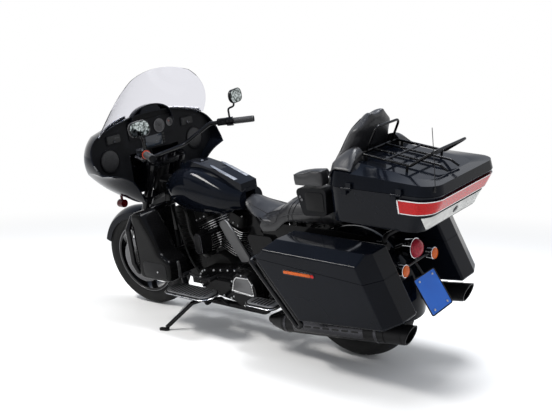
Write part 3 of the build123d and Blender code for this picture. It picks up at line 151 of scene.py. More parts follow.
def vary(mat, socket, factor, low, high, start=0.3, end=0.7):
    """A socket that varies between two values or colours with a texture."""
    nodes, links, shader = tree(mat)
    ramp = shader_node(nodes, "ValToRGB")
    for stop, place, value in zip(ramp.color_ramp.elements, (start, end), (low, high)):
        stop.position = place
        stop.color = (*value, 1) if hasattr(value, "__len__") else (value, value, value, 1)
    links.new(factor, ramp.inputs["Fac"])
    links.new(ramp.outputs["Color"], shader.inputs[socket])


def shades(colour, low, high):
    """A colour darkened and lightened."""
    return [c * low for c in colour], [c * high for c in colour]


def paint(name, colour, roughness=0.06, shine=0.05):
    """Deep gloss paint with a faint orange peel and a haze of dust."""
    mat = new_material(name, colour, roughness, Specular_IOR_Level=shine, Coat_Weight=0.22, Coat_Roughness=0.02,
                       Coat_IOR=1.3)
    add_bump(mat, noise(mat, 900, 1), 0.02, 0.0003)
    vary(mat, "Roughness", noise(mat, 9, 6, Roughness=0.7), roughness, roughness + 0.12, 0.4, 0.75)
    vary(mat, "Base Color", noise(mat, 3, 3), colour, [c * 1.6 + 0.0008 for c in colour])
    return mat


def plastic(name, colour, roughness, grain, depth=0.0003, shine=0.3):
    """Moulded or powder-coated surface with a fine grain."""
    mat = new_material(name, colour, roughness, Specular_IOR_Level=shine)
    add_bump(mat, noise(mat, grain, 3), 0.25, depth)
    haze = noise(mat, 14, 5)
    vary(mat, "Roughness", haze, roughness - 0.05, roughness + 0.1)
    vary(mat, "Base Color", haze, *shades(colour, 0.75, 1.5))
    return mat


def metal(name, colour, roughness, wear=0.12):
    """Bare or plated metal with a finely stained gloss."""
    mat = new_material(name, colour, roughness, 1.0)
    stain = noise(mat, 30, 6, Roughness=0.65)
    vary(mat, "Roughness", stain, roughness, roughness + wear)
    vary(mat, "Base Color", stain, *shades(colour, 0.8, 1))
    return mat


def lens(name, colour, ribs, glow=0.1):
    """Moulded lamp lens with fine ribs, over a bright reflector."""
    mat = new_material(name, colour, 0.12, Specular_IOR_Level=0.2, Emission_Strength=glow,
                       Emission_Color=(*colour, 1))
    rib = cells(mat, ribs)
    add_bump(mat, rib, 0.15, 0.0006)
    vary(mat, "Base Color", rib, *shades(colour, 1, 0.45), 0.0, 0.6)
    return mat


def leather(name, colour):
    """Grained vinyl: small cells, fine creases and a soft sheen."""
    mat = new_material(name, colour, 0.38, Specular_IOR_Level=0.42)
    add_bump(mat, cells(mat, 420), 0.3, 0.0005)
    add_bump(mat, noise(mat, 90, 4), 0.15, 0.0008)
    add_bump(mat, noise(mat, 16, 3, Distortion=1.2), 0.12, 0.004)
    worn = noise(mat, 7, 4)
    vary(mat, "Roughness", worn, 0.32, 0.44)
    vary(mat, "Base Color", worn, *shades(colour, 1, 1.7))
    return mat


BLACK = paint("gloss_black", (0.0018, 0.0024, 0.0042))
# A darker, rougher copy of the body's gloss black, for panels that lie in shade: painted shade.
BLACK_FOR_PAINTED_SHADE = paint("gloss_black_painted_shade", (0.002, 0.002, 0.0022), 0.14, 0.04)
TUBE_BLACK = paint("tube_black", (0.002, 0.002, 0.0025), 0.12, 0.15)
SATIN = plastic("satin_black", (0.004, 0.004, 0.0045), 0.34, 500, shine=0.12)
WRINKLE = plastic("wrinkle_black", (0.005, 0.005, 0.005), 0.42, 260, 0.0006, shine=0.13)
PLASTIC = plastic("black_plastic", (0.004, 0.0042, 0.005), 0.42, 700, shine=0.08)
LEATHER = leather("seat_leather", (0.006, 0.006, 0.007))
RUBBER = plastic("rubber", (0.01, 0.01, 0.01), 0.7, 350, 0.0005)
TREAD = plastic("tyre_rubber", (0.008, 0.008, 0.008), 0.7, 240, 0.0006, shine=0.2)
# Pale grey that stands for the bright sky mirrored in the trunk's black rear: painted reflection.
PAINTED_REFLECTION_GREY = plastic("painted_reflection_grey", (0.42, 0.42, 0.4), 0.35, 300, 0.0002)
SILVER = metal("machined_aluminium", (0.62, 0.62, 0.62), 0.22)
STEEL = metal("brushed_steel", (0.4, 0.4, 0.41), 0.3)
# Steel darkened to a third, for parts in shade such as the front wheel's rim edges, its rotors, the gauge bezels and
# the pod locks: painted shade.
STEEL_DARKENED_FOR_SHADE = metal("steel_darkened_for_shade", (0.13, 0.13, 0.135), 0.3)
CHROME = metal("chrome", (0.75, 0.76, 0.78), 0.06, 0.05)
DARK_METAL = metal("black_chrome", (0.05, 0.05, 0.055), 0.2)
# Mirror glass whose colour runs in patches from near black to pale grey: painted reflection.
MIRROR_PAINTED_REFLECTION = metal("mirror_glass_painted_reflection", (0.42, 0.47, 0.48), 0.03, 0.04)
vary(MIRROR_PAINTED_REFLECTION, "Base Color", noise(MIRROR_PAINTED_REFLECTION, 75, 3), (0.02, 0.03, 0.025), (0.5, 0.55, 0.55), 0.4, 0.6)
RED = lens("red_lens", (0.62, 0.003, 0.004), 260, 0.05)
ROSE = lens("tail_lens", (0.42, 0.03, 0.05), 200, 0.06)
DARK_RED = lens("dark_red_lens", (0.1, 0.004, 0.006), 260, 0.02)
AMBER = lens("amber_lens", (0.72, 0.13, 0.015), 260)
ACCENT = plastic("red_rubber", (0.5, 0.05, 0.02), 0.45, 500)
PLATE_BLUE = plastic("plate_blue", (0.004, 0.11, 0.52), 0.35, 900, 0.0001)
vary(PLATE_BLUE, "Base Color", noise(PLATE_BLUE, 9), (0.003, 0.1, 0.5), (0.005, 0.12, 0.55))
DIAL = plastic("dial_face", (0.02, 0.02, 0.022), 0.3, 900)
WHITE_MARK = plastic("dial_marks", (0.2, 0.2, 0.2), 0.4, 900)
GLASS = new_material("lamp_glass", (0.95, 0.96, 0.97), 0.03, Transmission_Weight=1.0, IOR=1.45)
SCREEN = new_material("windshield_acrylic", (0.79, 0.79, 0.84), 0.02, Transmission_Weight=1.0, IOR=1.12,
                      Specular_IOR_Level=0.5)
vary(GLASS, "Roughness", noise(GLASS, 40, 3), 0.02, 0.06)
vary(SCREEN, "Roughness", noise(SCREEN, 14, 4), 0.0, 0.05)

NODE_MATERIALS = {
    BLACK: ("fuel_tank", "fuel_door", "left_bag", "right_bag", "left_bag_lid", "right_bag_lid", "trunk_base",
            "trunk_lid", "fairing_shell", "front_fender", "rear_fender", "tank_console"),
    BLACK_FOR_PAINTED_SHADE: ("side_covers", "primary_cover", "horn_cover", "air_cleaner", "leg_shields"),
    TUBE_BLACK: ("engine_guard", "bag_guards", "luggage_rack", "handlebar", "mirrors", "forks", "side_stand",
                 "front_rim", "rear_rim"),
    SATIN: ("frame", "swingarm", "exhaust", "floorboards", "brake_calipers"),
    WRINKLE: ("engine_cases", "cylinders"),
    PLASTIC: ("fairing_dash", "speaker_pods"),
    LEATHER: ("seat", "backrest", "arm_rests"),
    RUBBER: ("drive_belt",),
    TREAD: ("front_tyre", "rear_tyre"),
    RED: ("trunk_lamps",),
    ROSE: ("tail_lamps",),
    DARK_RED: ("front_signals",),
    GLASS: ("headlamps",),
    SCREEN: ("windshield",),
    PLATE_BLUE: ("plate",),
}


def wear(obj, mat):
    """Give an object one material."""
    obj.data.materials.clear()
    obj.data.materials.append(mat)
    return obj


for mat, names in NODE_MATERIALS.items():
    for name in names:
        wear(NODES[name], mat)


def new_object(name, data):
    obj = bpy.data.objects.new(name, data)
    bpy.context.scene.collection.objects.link(obj)
    return obj


# ---- Mesh building
X, Y, Z = Vector((1, 0, 0)), Vector((0, 1, 0)), Vector((0, 0, 1))
SIDES = (1, -1)


def on_side(point, s):
    """A point of the left side, or its mirror image for s = -1."""
    return Vector((point[0], s * point[1], point[2]))


def across_to(way):
    """Two directions square to a way and to each other."""
    n = Vector(way).normalized()
    first = n.cross(Z if abs(n.z) < 0.9 else X).normalized()
    return n, first, n.cross(first)


def smooth_path(points, steps):
    """Catmull-Rom curve through points."""
    pts = [Vector(p) for p in points]
    ext = [pts[0] * 2 - pts[1], *pts, pts[-1] * 2 - pts[-2]]
    out = []
    for i in range(1, len(ext) - 2):
        a, b, c, d = ext[i - 1:i + 3]
        for k in range(steps):
            t = k / steps
            out.append(0.5 * (2 * b + (c - a) * t + (2 * a - 5 * b + 4 * c - d) * t**2
                              + (3 * b - a - 3 * c + d) * t**3))
    return [*out, pts[-1]]


def angles(count):
    return [2 * pi * k / count for k in range(count)]


class Piece:
    """One mesh of one material, put together from forms in upright millimetres."""

    def __init__(self, name, mat, body="chassis", slot=None):
        self.name, self.mat, self.body, self.slot = name, mat, body, slot
        self.bm = bmesh.new()

    def rings(self, rings, closed=True, caps=(False, False)):
        """Skin over rings of points."""
        rows = [[self.bm.verts.new(p) for p in ring] for ring in rings]
        for a, b in zip(rows, rows[1:]):
            n = len(a)
            for i in range(n if closed else n - 1):
                self.bm.faces.new((a[i], a[(i + 1) % n], b[(i + 1) % n], b[i]))
        for cap, row in zip(caps, (rows[0], rows[-1])):
            if cap:
                self.bm.faces.new(row)
        return self

    def lathe(self, at, way, profile, segments=28):
        """Turned form: columns of the profile are radius and distance along the way."""
        n, u, v = across_to(way)
        at = Vector(at)
        rings = []
        for radius, along in profile:
            r = max(radius, 0.01)
            rings.append([at + n * along + u * (cos(a) * r) + v * (sin(a) * r) for a in angles(segments)])
        return self.rings(rings, caps=(True, True))

    def tube(self, points, radius, segments=10, flat=1.0, normal=None):
        """Round or flattened bar along a path."""
        pts = [Vector(p) for p in points]
        rings = []
        u = None
        for i, p in enumerate(pts):
            way = (pts[min(i + 1, len(pts) - 1)] - pts[max(i - 1, 0)]).normalized()
            if normal is not None:
                u = (Vector(normal) - way * way.dot(normal)).normalized()
            elif u is None:
                u = across_to(way)[1]
            else:
                u = (u - way * way.dot(u)).normalized()
            v = way.cross(u)
            rings.append([p + u * (cos(a) * radius * flat) + v * (sin(a) * radius) for a in angles(segments)])
        return self.rings(rings, caps=(True, True))

    def rim(self, at, right, up, outline, radius, **form):
        """Bar that runs round an outline in the plane of right and up."""
        loop = [at + right * x + up * y for x, y in outline]
        return self.tube([*loop, loop[0]], radius, 8, **form)

    def slab(self, at, right, up, outline, depth, bevel=1.5):
        """Plate with eased edges: outline in the plane of right and up, thickness along their normal."""
        right, up = Vector(right).normalized(), Vector(up).normalized()
        out, at = right.cross(up), Vector(at)
        low = [self.bm.verts.new(at + right * x + up * y) for x, y in outline]
        base = self.bm.faces.new(low)
        moved = bmesh.ops.extrude_face_region(self.bm, geom=[base])["geom"]
        new = [g for g in moved if isinstance(g, bmesh.types.BMVert)]
        bmesh.ops.translate(self.bm, verts=new, vec=out * depth)
        if bevel:
            ring = set(new)
            edges = [e for e in self.bm.edges if e.verts[0] in ring and e.verts[1] in ring]
            bmesh.ops.bevel(self.bm, geom=edges, offset=bevel, segments=2, affect="EDGES", profile=0.6)
        return self

    def side_plate(self, s, y, outline, depth, bevel):
        """Plate that faces outwards on one side: outline of distances forward and up."""
        return self.slab((0, s * y, 0), X * -s, Z, [(-s * x, z) for x, z in outline], depth, bevel)

    def bolt(self, at, way, r=5.0):
        """Button-head screw with a socket."""
        return self.lathe(at, way, ((r, -1), (r, 0.35 * r), (0.8 * r, 0.7 * r), (0.5 * r, 0.78 * r),
                                    (0.45 * r, 0.3 * r), (0, 0.3 * r)), 12)

    def done(self, sharp=35):
        """Make the object, and hand it to its body."""
        bmesh.ops.recalc_face_normals(self.bm, faces=self.bm.faces)
        mesh = bpy.data.meshes.new(self.name)
        self.bm.to_mesh(mesh)
        self.bm.free()
        mesh.transform(stance(self.body))
        for face in mesh.polygons:
            face.use_smooth = True
        mesh.set_sharp_from_angle(angle=radians(sharp))
        obj = wear(new_object(self.name, mesh), self.mat)
        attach(obj, self.body)
        return obj


def finish(*pieces):
    for piece in pieces:
        piece.done()


def rounded(width, height, corner, steps=5):
    """Outline of a rectangle with round corners."""
    out = []
    for k, (sx, sy) in enumerate(((1, 1), (-1, 1), (-1, -1), (1, -1))):
        cx, cy = sx * (width / 2 - corner), sy * (height / 2 - corner)
        for i in range(steps + 1):
            a = pi / 2 * (k + i / steps)
            out.append((cx + corner * cos(a), cy + corner * sin(a)))
    return out


def skin(obj):
    """Search tree of an object's mesh."""
    return BVHTree.FromPolygons([v.co for v in obj.data.vertices], [p.vertices for p in obj.data.polygons])


SURFACES = {}


def cast(surface, start, way, body="chassis", reach=1000.0):
    """Where a ray in upright millimetres meets a surface, and the surface's normal there."""
    matrix = stance(body)
    back = matrix.inverted()
    direction = (matrix.to_3x3() @ Vector(way)).normalized()
    where, normal, _, _ = surface.ray_cast(matrix @ Vector(start), direction, reach * MM)
    if where is None:
        return None, None
    return back @ where, (back.to_3x3() @ normal).normalized()


def hit(node, start, way, body="chassis"):
    """The same for a CAD node."""
    if node not in SURFACES:
        SURFACES[node] = skin(NODES[node])
    return cast(SURFACES[node], start, way, body, 400.0)


# ---- Tyres and rims
TREAD_STEPS = 30        # faces across the tread
TYRE_TURNS = 360        # faces round the tyre
GROOVE = 4.0


def tyre_piece(name, node, body, x, half, rim_r, bead, crown_r, pitch):
    """Tyre with a round tread, diagonal grooves, a centre rib and plain walls."""
    edge = half * 0.94
    tread = []
    for k in range(TREAD_STEPS + 1):
        across = -edge + 2 * edge * k / TREAD_STEPS
        tread.append((across, TYRE_R - crown_r + (crown_r**2 - across**2) ** 0.5, True))
    shoulder = tread[0][1]
    wall = []
    for t in (0.12, 0.25, 0.3, 0.45, 0.6, 0.75, 0.9, 1.0):
        bulge = sin(pi * min(t * 0.9 + 0.1, 1)) * 0.06
        across = edge + (half - edge) * (1 - t) + half * bulge - (half - bead) * t**2 * 0.9
        wall.append((min(across, half - 0.4), shoulder + (rim_r + 12 - shoulder) * t, False))
    loop = [*[(-across, radius, cut) for across, radius, cut in reversed(wall)], *tread, *wall]
    piece = Piece(name, TREAD, body, "tyre")
    rings = []
    for angle in angles(TYRE_TURNS):
        ring = []
        for across, radius, cut in loop:
            share = abs(across) / edge
            phase = (angle * pitch / (2 * pi) + share**1.3 * 0.8 + (0.5 if across > 0 else 0)) % 1
            if cut and 0.16 < share < 0.86 and abs(phase - 0.5) < 0.1:
                radius -= GROOVE
            ring.append((x + radius * cos(angle), across, TYRE_R + radius * sin(angle)))
        rings.append(ring)
    piece.rings([*rings, rings[0]], closed=False)
    bmesh.ops.remove_doubles(piece.bm, verts=piece.bm.verts, dist=0.01)
    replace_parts(piece.done(28), node)


tyre_piece("front_tyre_tread", "front_tyre", "front_wheel", WHEELBASE, 65.0, 216.0, 46.0, 78.0, 40)
tyre_piece("rear_tyre_tread", "rear_tyre", "rear_wheel", 0.0, 90.0, 203.0, 67.0, 112.0, 34)

# The front wheel's rim edges take the darkened steel where the rear's are plain steel: painted shade on the front
# wheel.
for body, mat, x, half, r in (("front_wheel", STEEL_DARKENED_FOR_SHADE, WHEELBASE, 53.0, 227.0),
                              ("rear_wheel", STEEL, 0.0, 74.0, 214.0)):
    ring = Piece("rim_edges_" + body, mat, body)
    for s in SIDES:
        loop = [(r - 7, half * s), (r - 6.6, (half + 0.7) * s), (r - 1.2, (half + 0.7) * s), (r - 0.8, half * s)]
        turns = [[Vector((x + cos(a) * q, y, TYRE_R + sin(a) * q)) for q, y in loop] for a in angles(96)]
        ring.rings([*turns, turns[0]])
    ring.done()
# The front rotors are darkened steel too: painted shade.
rotors = Piece("front_brake_rotors", STEEL_DARKENED_FOR_SHADE, "front_wheel")
hub_bolts = Piece("rotor_bolts", STEEL, "front_wheel")
for s in SIDES:
    rotors.lathe((WHEELBASE, s * 72.0, TYRE_R), (0, s, 0), ((96, 2.6), (96.5, 3.3), (148, 3.3), (149.5, 2.6)), 64)
    for a in angles(10):
        hub_bolts.bolt((WHEELBASE + cos(a) * 66, s * 75, TYRE_R + sin(a) * 66), (0, s, 0), 5)
finish(rotors, hub_bolts)

# ---- Soft goods
VOXEL = 0.005
SHRINK = 0.008          # how far the slim form lies inside the CAD's, before it is blown up
SWELL_CAP = 0.02        # most that the pressure may move any point
PROUD = 0.005           # how far the leather may stand outside the CAD's form
CLOTH_FRAMES = 20
PIPING = 2.6


def apply_all(obj):
    bpy.ops.object.select_all(action="DESELECT")
    obj.select_set(True)
    bpy.context.view_layer.objects.active = obj
    for modifier in list(obj.modifiers):
        bpy.ops.object.modifier_apply(modifier=modifier.name)


def smoothed(obj, times):
    smooth = obj.modifiers.new("smooth", "SMOOTH")
    smooth.iterations = times
    apply_all(obj)


def remeshed(node, name, size):
    """Copy of a CAD node, rebuilt from small even faces."""
    obj = new_object(name, NODES[node].data.copy())
    remesh = obj.modifiers.new("remesh", "REMESH")
    remesh.mode = "VOXEL"
    remesh.voxel_size = size
    apply_all(obj)
    return obj


def dressed(obj, mat, body):
    """Give an object its shading, material and body."""
    for face in obj.data.polygons:
        face.use_smooth = True
    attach(wear(obj, mat), body)


def blow_up(pad, fixed):
    """Let pressure fill the leather out, held at its fixed points."""
    group = pad.vertex_groups.new(name="fixed")
    group.add(fixed, 1.0, "REPLACE")
    cloth = pad.modifiers.new("cloth", "CLOTH")
    cloth.settings.use_pressure = True
    cloth.settings.uniform_pressure_force = 4
    cloth.settings.effector_weights.gravity = 0
    cloth.settings.vertex_group_mass = "fixed"
    cloth.settings.quality = 4
    for step in range(1, CLOTH_FRAMES + 1):
        bpy.context.scene.frame_set(step)
    apply_all(pad)
    bpy.context.scene.frame_set(1)


def soft(node, body, pinned):
    """Stuffed leather in a CAD node's place: remeshed, blown up a little and smoothed."""
    pad = remeshed(node, "soft_" + node, VOXEL)
    start = [v.co.copy() for v in pad.data.vertices]
    normals = [v.normal.copy() for v in pad.data.vertices]
    for vertex, normal in zip(pad.data.vertices, normals):
        vertex.co -= normal * SHRINK
    smoothed(pad, 30)
    slim = [v.co.copy() for v in pad.data.vertices]
    down = (UPRIGHT.to_3x3() @ -Z).normalized()
    blow_up(pad, [v.index for v, n in zip(pad.data.vertices, normals) if n.dot(down) > pinned])
    for vertex, low, high, normal in zip(pad.data.vertices, slim, start, normals):
        moved = vertex.co - low
        out = max(0.0, (high - low).dot(normal)) + (PROUD if normal.dot(down) < 0.2 else 0)
        if moved.length > min(SWELL_CAP, out):
            moved *= min(SWELL_CAP, out) / moved.length
        vertex.co = low + moved
    smoothed(pad, 40)
    finer = pad.modifiers.new("finer", "SUBSURF")
    finer.levels = 1
    apply_all(pad)
    dressed(pad, LEATHER, body)
    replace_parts(pad, node)
    return skin(pad)


def laid(surface, pairs, body="chassis", proud=0.6):
    """Points where rays from outside meet a soft piece."""
    met = [cast(surface, start, Vector(aim) - Vector(start), body) for start, aim in pairs]
    return [where + normal * proud for where, normal in met if where is not None]


def welt(piece, path, share=1.0, steps=1):
    """Piping along a path, where the rays met enough of the leather."""
    if len(path) > 3:
        piece.tube(smooth_path(path, steps), PIPING * share, 8)


def over_seat(x_side, x_top):
    """Rays round the seat from its left side over its top to its right, slanting along the machine."""
    pairs = []
    for degrees in range(-105, 106, 7):
        a = radians(degrees)
        x = x_top + (x_side - x_top) * min(abs(a) / radians(90), 1) ** 2
        pairs.append(((x, -400 * sin(a), 760 + 400 * cos(a)), (x, 0, 760)))
    return pairs


seat_skin = soft("seat", "chassis", 0.6)
back_skin = soft("backrest", "trunk_top", 2.0)
arm_skin = soft("arm_rests", "chassis", 0.6)

welts = Piece("seat_piping", LEATHER, "chassis", "seat_leather")
for x_side, x_top in ((352, 318), (262, 214), (236, 188), (60, 40)):
    welt(welts, laid(seat_skin, over_seat(x_side, x_top)))
for s in SIDES:
    welt(welts, laid(seat_skin, [((x, s * 400, z + 60), (x, 0, z)) for x, z in (
        (628, 770), (590, 742), (540, 716), (490, 694), (440, 676), (390, 676), (350, 690))]), steps=4)
    welt(welts, laid(seat_skin, [((x, s * 400, z), (x, 0, z)) for x, z in (
        (306, 742), (260, 760), (200, 770), (120, 775), (40, 778), (-10, 778))]), steps=4)
    welt(welts, laid(seat_skin, [((x, s * 74, 1100), (x, s * 74, 700)) for x in range(-10, 300, 20)]), 0.8)
    lobe = [(x, s * (60 + (630 - x) * 0.18)) for x in range(360, 630, 20)]
    welt(welts, laid(seat_skin, [((x, y, 1100), (x, y, 650)) for x, y in lobe]), 0.8)

back_welts = Piece("backrest_piping", LEATHER, "trunk_top", "seat_leather")
for s in SIDES:
    welt(back_welts, laid(back_skin, [((x + 300, s * y, z), (x - 40, s * y * 0.86, z)) for x, y, z in (
        (10, 138, 985), (-25, 150, 1040), (-60, 152, 1090), (-100, 138, 1140), (-140, 118, 1185), (-170, 84, 1225))],
        "trunk_top"), steps=4)
for z, x in ((1092, -100), (1010, -30)):
    row = [150 * (1 - k / 12) for k in range(25)]
    welt(back_welts, laid(back_skin, [((x + 350, y, z), (x - 100, y, z)) for y in row], "trunk_top"), 0.8)

arm_welts = Piece("arm_rest_piping", LEATHER, "chassis", "seat_leather")
for s in SIDES:
    for y in (s * 218, s * 274):
        welt(arm_welts, laid(arm_skin, [((x, y, 1200), (x, y, 900)) for x in range(-66, 100, 12)]), 0.8)
finish(welts, back_welts, arm_welts)

WING = ((-92, 10), (-104, 24), (-130, 40), (-165, 50), (-200, 52), (-222, 36))     # forward, rise over the lid
wings = Piece("backrest_wings", LEATHER, "trunk_top", "seat_leather")
for s in SIDES:
    rows = []
    for k in range(13):
        y = 150 + 128 * k / 12
        share = (k / 12) ** 2
        row, floor_row = [], []
        for x, rise in WING:
            where, _ = hit("trunk_lid", (x - 14 * share, s * min(y, 262), 1300), -Z, "trunk_top")
            base = (where.z if where is not None else 1030) + 1
            floor_row.append(Vector((x - 14 * share, s * y, base)))
            row.append(floor_row[-1] + Z * (rise * (1 - share * 0.96)))
        rows.append([*smooth_path(row, 4), *smooth_path(floor_row[::-1], 4)])
    wings.rings(rows, caps=(True, True))
wings.done(60)

# ---- Covers within the frame
RAIL_COVER = ((452, 560), (452, 700), (300, 704), (-40, 704), (-250, 690), (-250, 610), (160, 560))
NECK_COVER = ((1236, 690), (1236, 850), (1272, 850), (1276, 742), (1276, 640), (1246, 560), (1196, 560))
LOW_COVER = ((1204, 212), (1204, 470), (960, 470), (960, 212))
MID_COVER = ((720, 560), (720, 702), (430, 702), (430, 560))
covers = Piece("frame_covers", BLACK_FOR_PAINTED_SHADE, slot="gloss_black")
for s in SIDES:
    covers.side_plate(s, 151.4, RAIL_COVER, 1.8, 0.8)
    covers.side_plate(s, 78, NECK_COVER, 4, 1.5)
    for x in (1216, 1236):
        covers.slab((x, s * 158, 0), Y * s, Z, [(-56, 362), (56, 362), (56, 716), (-56, 716)], 4, 1.5)
    covers.side_plate(s, 30, LOW_COVER, 4, 1.5)
    covers.side_plate(s, 30, MID_COVER, 4, 1.5)
shroud = Piece("fork_shroud", SATIN, "steering", "satin_black")
shroud.slab(FRONT_AXLE + UP_FORK * 421, Y, UP_FORK, rounded(176, 82, 8), 6, 2)
cooler = Piece("oil_cooler", WRINKLE, slot="black_plastic")
cooler.slab((1204, 0, 378), Y, Z, rounded(208, 158, 10), 18, 3)
for k in range(11):
    cooler.slab((1186, 0, 310 + 13.6 * k), X, Y, rounded(40, 190, 4), 3, 0.6)
box = Piece("regulator_box", WRINKLE, slot="black_plastic")
box.side_plate(1, -40, ((1116, 700), (1222, 700), (1214, 560), (1186, 452), (1046, 452), (1080, 560)), 112, 5)
for k in range(9):
    x, z = 1126 + 4 * k, 474 + 24 * k
    box.slab((x, 71, z), -X, Z, rounded(88, 9, 3), 9, 2)
    box.slab((x, -39, z), X, Z, rounded(88, 9, 3), 9, 2)
hoses = Piece("engine_hoses", RUBBER, slot="black_plastic")
for s in SIDES:
    thick = ((1150, 60, 690), (1100, 92, 660), (1075, 104, 560), (1010, 112, 470), (960, 108, 430))
    thin = ((1190, 88, 600), (1140, 112, 520), (1110, 112, 420), (1040, 108, 300))
    for path, radius in ((thick, 8), (thin, 6)):
        hoses.tube(smooth_path([on_side(p, s) for p in path], 8), radius, 12)
finish(covers, shroud, cooler, box, hoses)

# ---- Engine
CRANK = Vector((862.0, 0, 335.0))
CLUTCH = Vector((575.0, 0, 332.0))
FIRST_FIN = 146.3
FIN_PITCH = 13.0
FIN_COUNT = 13
FIN_OUTLINE = rounded(152, 152, 38, 8)
LEAN = radians(22.5)
SCREW_Y = 190.2         # face of the primary cover, under the heads of its screws

fins = Piece("fin_edges", SILVER)
tubes = Piece("pushrod_tubes", DARK_METAL, slot="engine_black")
caps = Piece("rocker_bolts", SILVER)
lids = Piece("rocker_lids", BLACK_FOR_PAINTED_SHADE, slot="gloss_black")
for s in SIDES:
    up = Vector((sin(LEAN) * s, 0, cos(LEAN)))
    along = Vector((cos(LEAN), 0, -sin(LEAN) * s))
    for n in range(FIN_COUNT):
        base = CRANK + up * (FIRST_FIN + n * FIN_PITCH)
        rows = []
        for px, py in FIN_OUTLINE:
            centre = base + Y * px + along * py
            if s * (centre.x - CRANK.x) >= 3:
                out = (Y * px + along * py).normalized()
                rows.append([centre - out * 0.6 + up * 0.7, centre + out * 0.9 + up * 1.1,
                             centre + out * 0.9 + up * 3.9, centre - out * 0.6 + up * 4.3])
        if len(rows) < len(FIN_OUTLINE):
            # The fin ends where it meets the other barrel's: start behind the widest step.
            gap = max(range(len(rows)), key=lambda i: (rows[i][0] - rows[i - 1][0]).length)
            fins.rings(rows[gap:] + rows[:gap], caps=(True, True))
        else:
            fins.rings([*rows, rows[0]])
    top = CRANK + up * 392
    lids.slab(top + up * 0.4, along, Y, rounded(96, 150, 24), -0.1, 0)
    for px, py in ((-64, -34), (-64, 34), (64, -34), (64, 34), (0, 44), (0, -44)):
        caps.bolt(top + Y * px + along * py, up, 6)
    for step in (-20, 20):
        low = CRANK + Vector((s * 34 + step * 0.5, -84, 98))
        high = CRANK + up * 326 + along * step * 0.8 + Y * -82
        tubes.tube((low, high), 8.5, 14)
        for share in (0.03, 0.5, 0.93):
            tubes.lathe(low + (high - low) * share, high - low, ((8.4, -9), (11.5, -8), (11.5, 8), (8.4, 9)), 14)
    for px in (-86.5, 86.5):
        for py in (-36, 0, 36):
            caps.bolt(CRANK + up * 344 + Y * px + along * py, Y * (1 if px > 0 else -1), 5)
finish(fins, tubes, caps, lids)

clutch = Piece("clutch_frame", SILVER)
clutch_panel = Piece("clutch_panel", new_material("satin_grey", (0.09, 0.09, 0.092), 0.35, 0.6))
vary(clutch_panel.mat, "Roughness", noise(clutch_panel.mat, 60, 4), 0.3, 0.42)
DERBY = [(x * 0.78 - 2, (z - 49) * 0.78 + 28) for x, z in (
    (102, 3), (79, 73), (52, 103), (-64, 108), (-85, 74), (-96, -10))]
frame_at = CLUTCH + Y * 236
clutch.tube([frame_at + X * x + Z * z + Y * 1.5 for x, z in (*DERBY, DERBY[0])], 3.6)
for x, z in ((-74, -14), (78, -8)):
    clutch.lathe(frame_at + Vector((x, 0.5, z)), Y, ((4.4, -1), (4.4, 3), (0, 4)), 14)
clutch.tube([frame_at + Vector((x, 1, z)) for x, z in ((-66, -21.8), (66, -15.2))], 1.6, 8)
clutch_panel.slab(frame_at + Y * 0.2, -X, Z, [(-x * 0.9, (z - 28) * 0.9 + 28) for x, z in DERBY], 2.2, 1.0)

screws = Piece("engine_screws", SILVER)
for k in range(8):
    a = radians(-75 + 150 * k / 7)
    screws.bolt((890 + 60 * cos(a), SCREW_Y, 329 + 60 * sin(a)), Y, 6)
for k in range(4):
    run = 90 + 55 * k
    screws.bolt((CLUTCH.x + run, SCREW_Y, 430 - run * 0.13), Y, 6)
    screws.bolt((CLUTCH.x + run, SCREW_Y, 234 + run * 0.11), Y, 6)
for k in range(6):
    a = radians(60 * k + 30)
    screws.bolt(CLUTCH + Vector((86 * cos(a), 236.2, 86 * sin(a))), Y, 5)
for k in range(5):
    a = radians(72 * k + 18)
    screws.bolt(CRANK + Vector((60 * cos(a), -148.2, 60 * sin(a))), -Y, 5.5)
for x in (560, 640):
    for z in (270, 400):
        screws.bolt((x, -104.2, z), -Y, 7)
for x in range(520, 980, 76):
    for s in SIDES:
        screws.bolt((x, s * 98.2, 222), (0, s, 0), 5.5)
timer = Piece("timer_cover", BLACK_FOR_PAINTED_SHADE, slot="gloss_black")
timer.lathe(CRANK - Y * 148.2, -Y, ((48, 0), (48, 5), (44, 8), (30, 8), (28, 5), (0, 5)), 48)
AIR = Vector((862, -198, 600))
HORN = Vector((906, 206.6, 545))
horn_ring = Piece("horn_cover_ring", DARK_METAL, slot="gloss_black")
horn_ring.rim(HORN, X * 0.93, Z * 0.93, rounded(56, 118, 20, 6), 2.2)
air_rings = Piece("engine_rings", CHROME)
air_rings.lathe(AIR + Y * 0.4, -Y, ((85.4, 0), (86, 1.5), (84, 4.5), (79, 4.5), (78, 0.6)), 64)
air_rings.lathe(AIR, -Y, ((12, 0.2), (12, 6), (9, 8), (0, 8)), 24)
air_face = Piece("air_cleaner_face", BLACK, slot="gloss_black")
air_face.lathe(AIR, -Y, ((77, 0.2), (76.5, 3), (66, 8), (30, 12), (16, 9), (0, 9)), 64)
horn_face = Piece("horn_cover_face", SATIN, slot="satin_black")
horn_face.slab(HORN - Y * 0.4, -X, Z, rounded(46, 104, 17), 5, 2.5)
# The deflectors' satin grey, well lighter than the black round them, is a painted sheen.
sheen_flaps = Piece("deflector_faces_painted_sheen", new_material("deflector_painted_sheen", (0.035, 0.035, 0.036), 0.32, Specular_IOR_Level=0.4))
add_bump(sheen_flaps.mat, noise(sheen_flaps.mat, 500, 3), 0.1, 0.0003)
vary(sheen_flaps.mat, "Roughness", noise(sheen_flaps.mat, 20, 4), 0.28, 0.4)
FLAP = ((744, 664), (734, 684), (706, 698), (686, 690), (640, 628), (556, 508), (550, 480), (612, 468), (700, 590))
for s in SIDES:
    sheen_flaps.side_plate(s, 168.4, FLAP, 12, 5)
finish(clutch, clutch_panel, screws, timer, horn_ring, air_rings, air_face, horn_face, sheen_flaps)

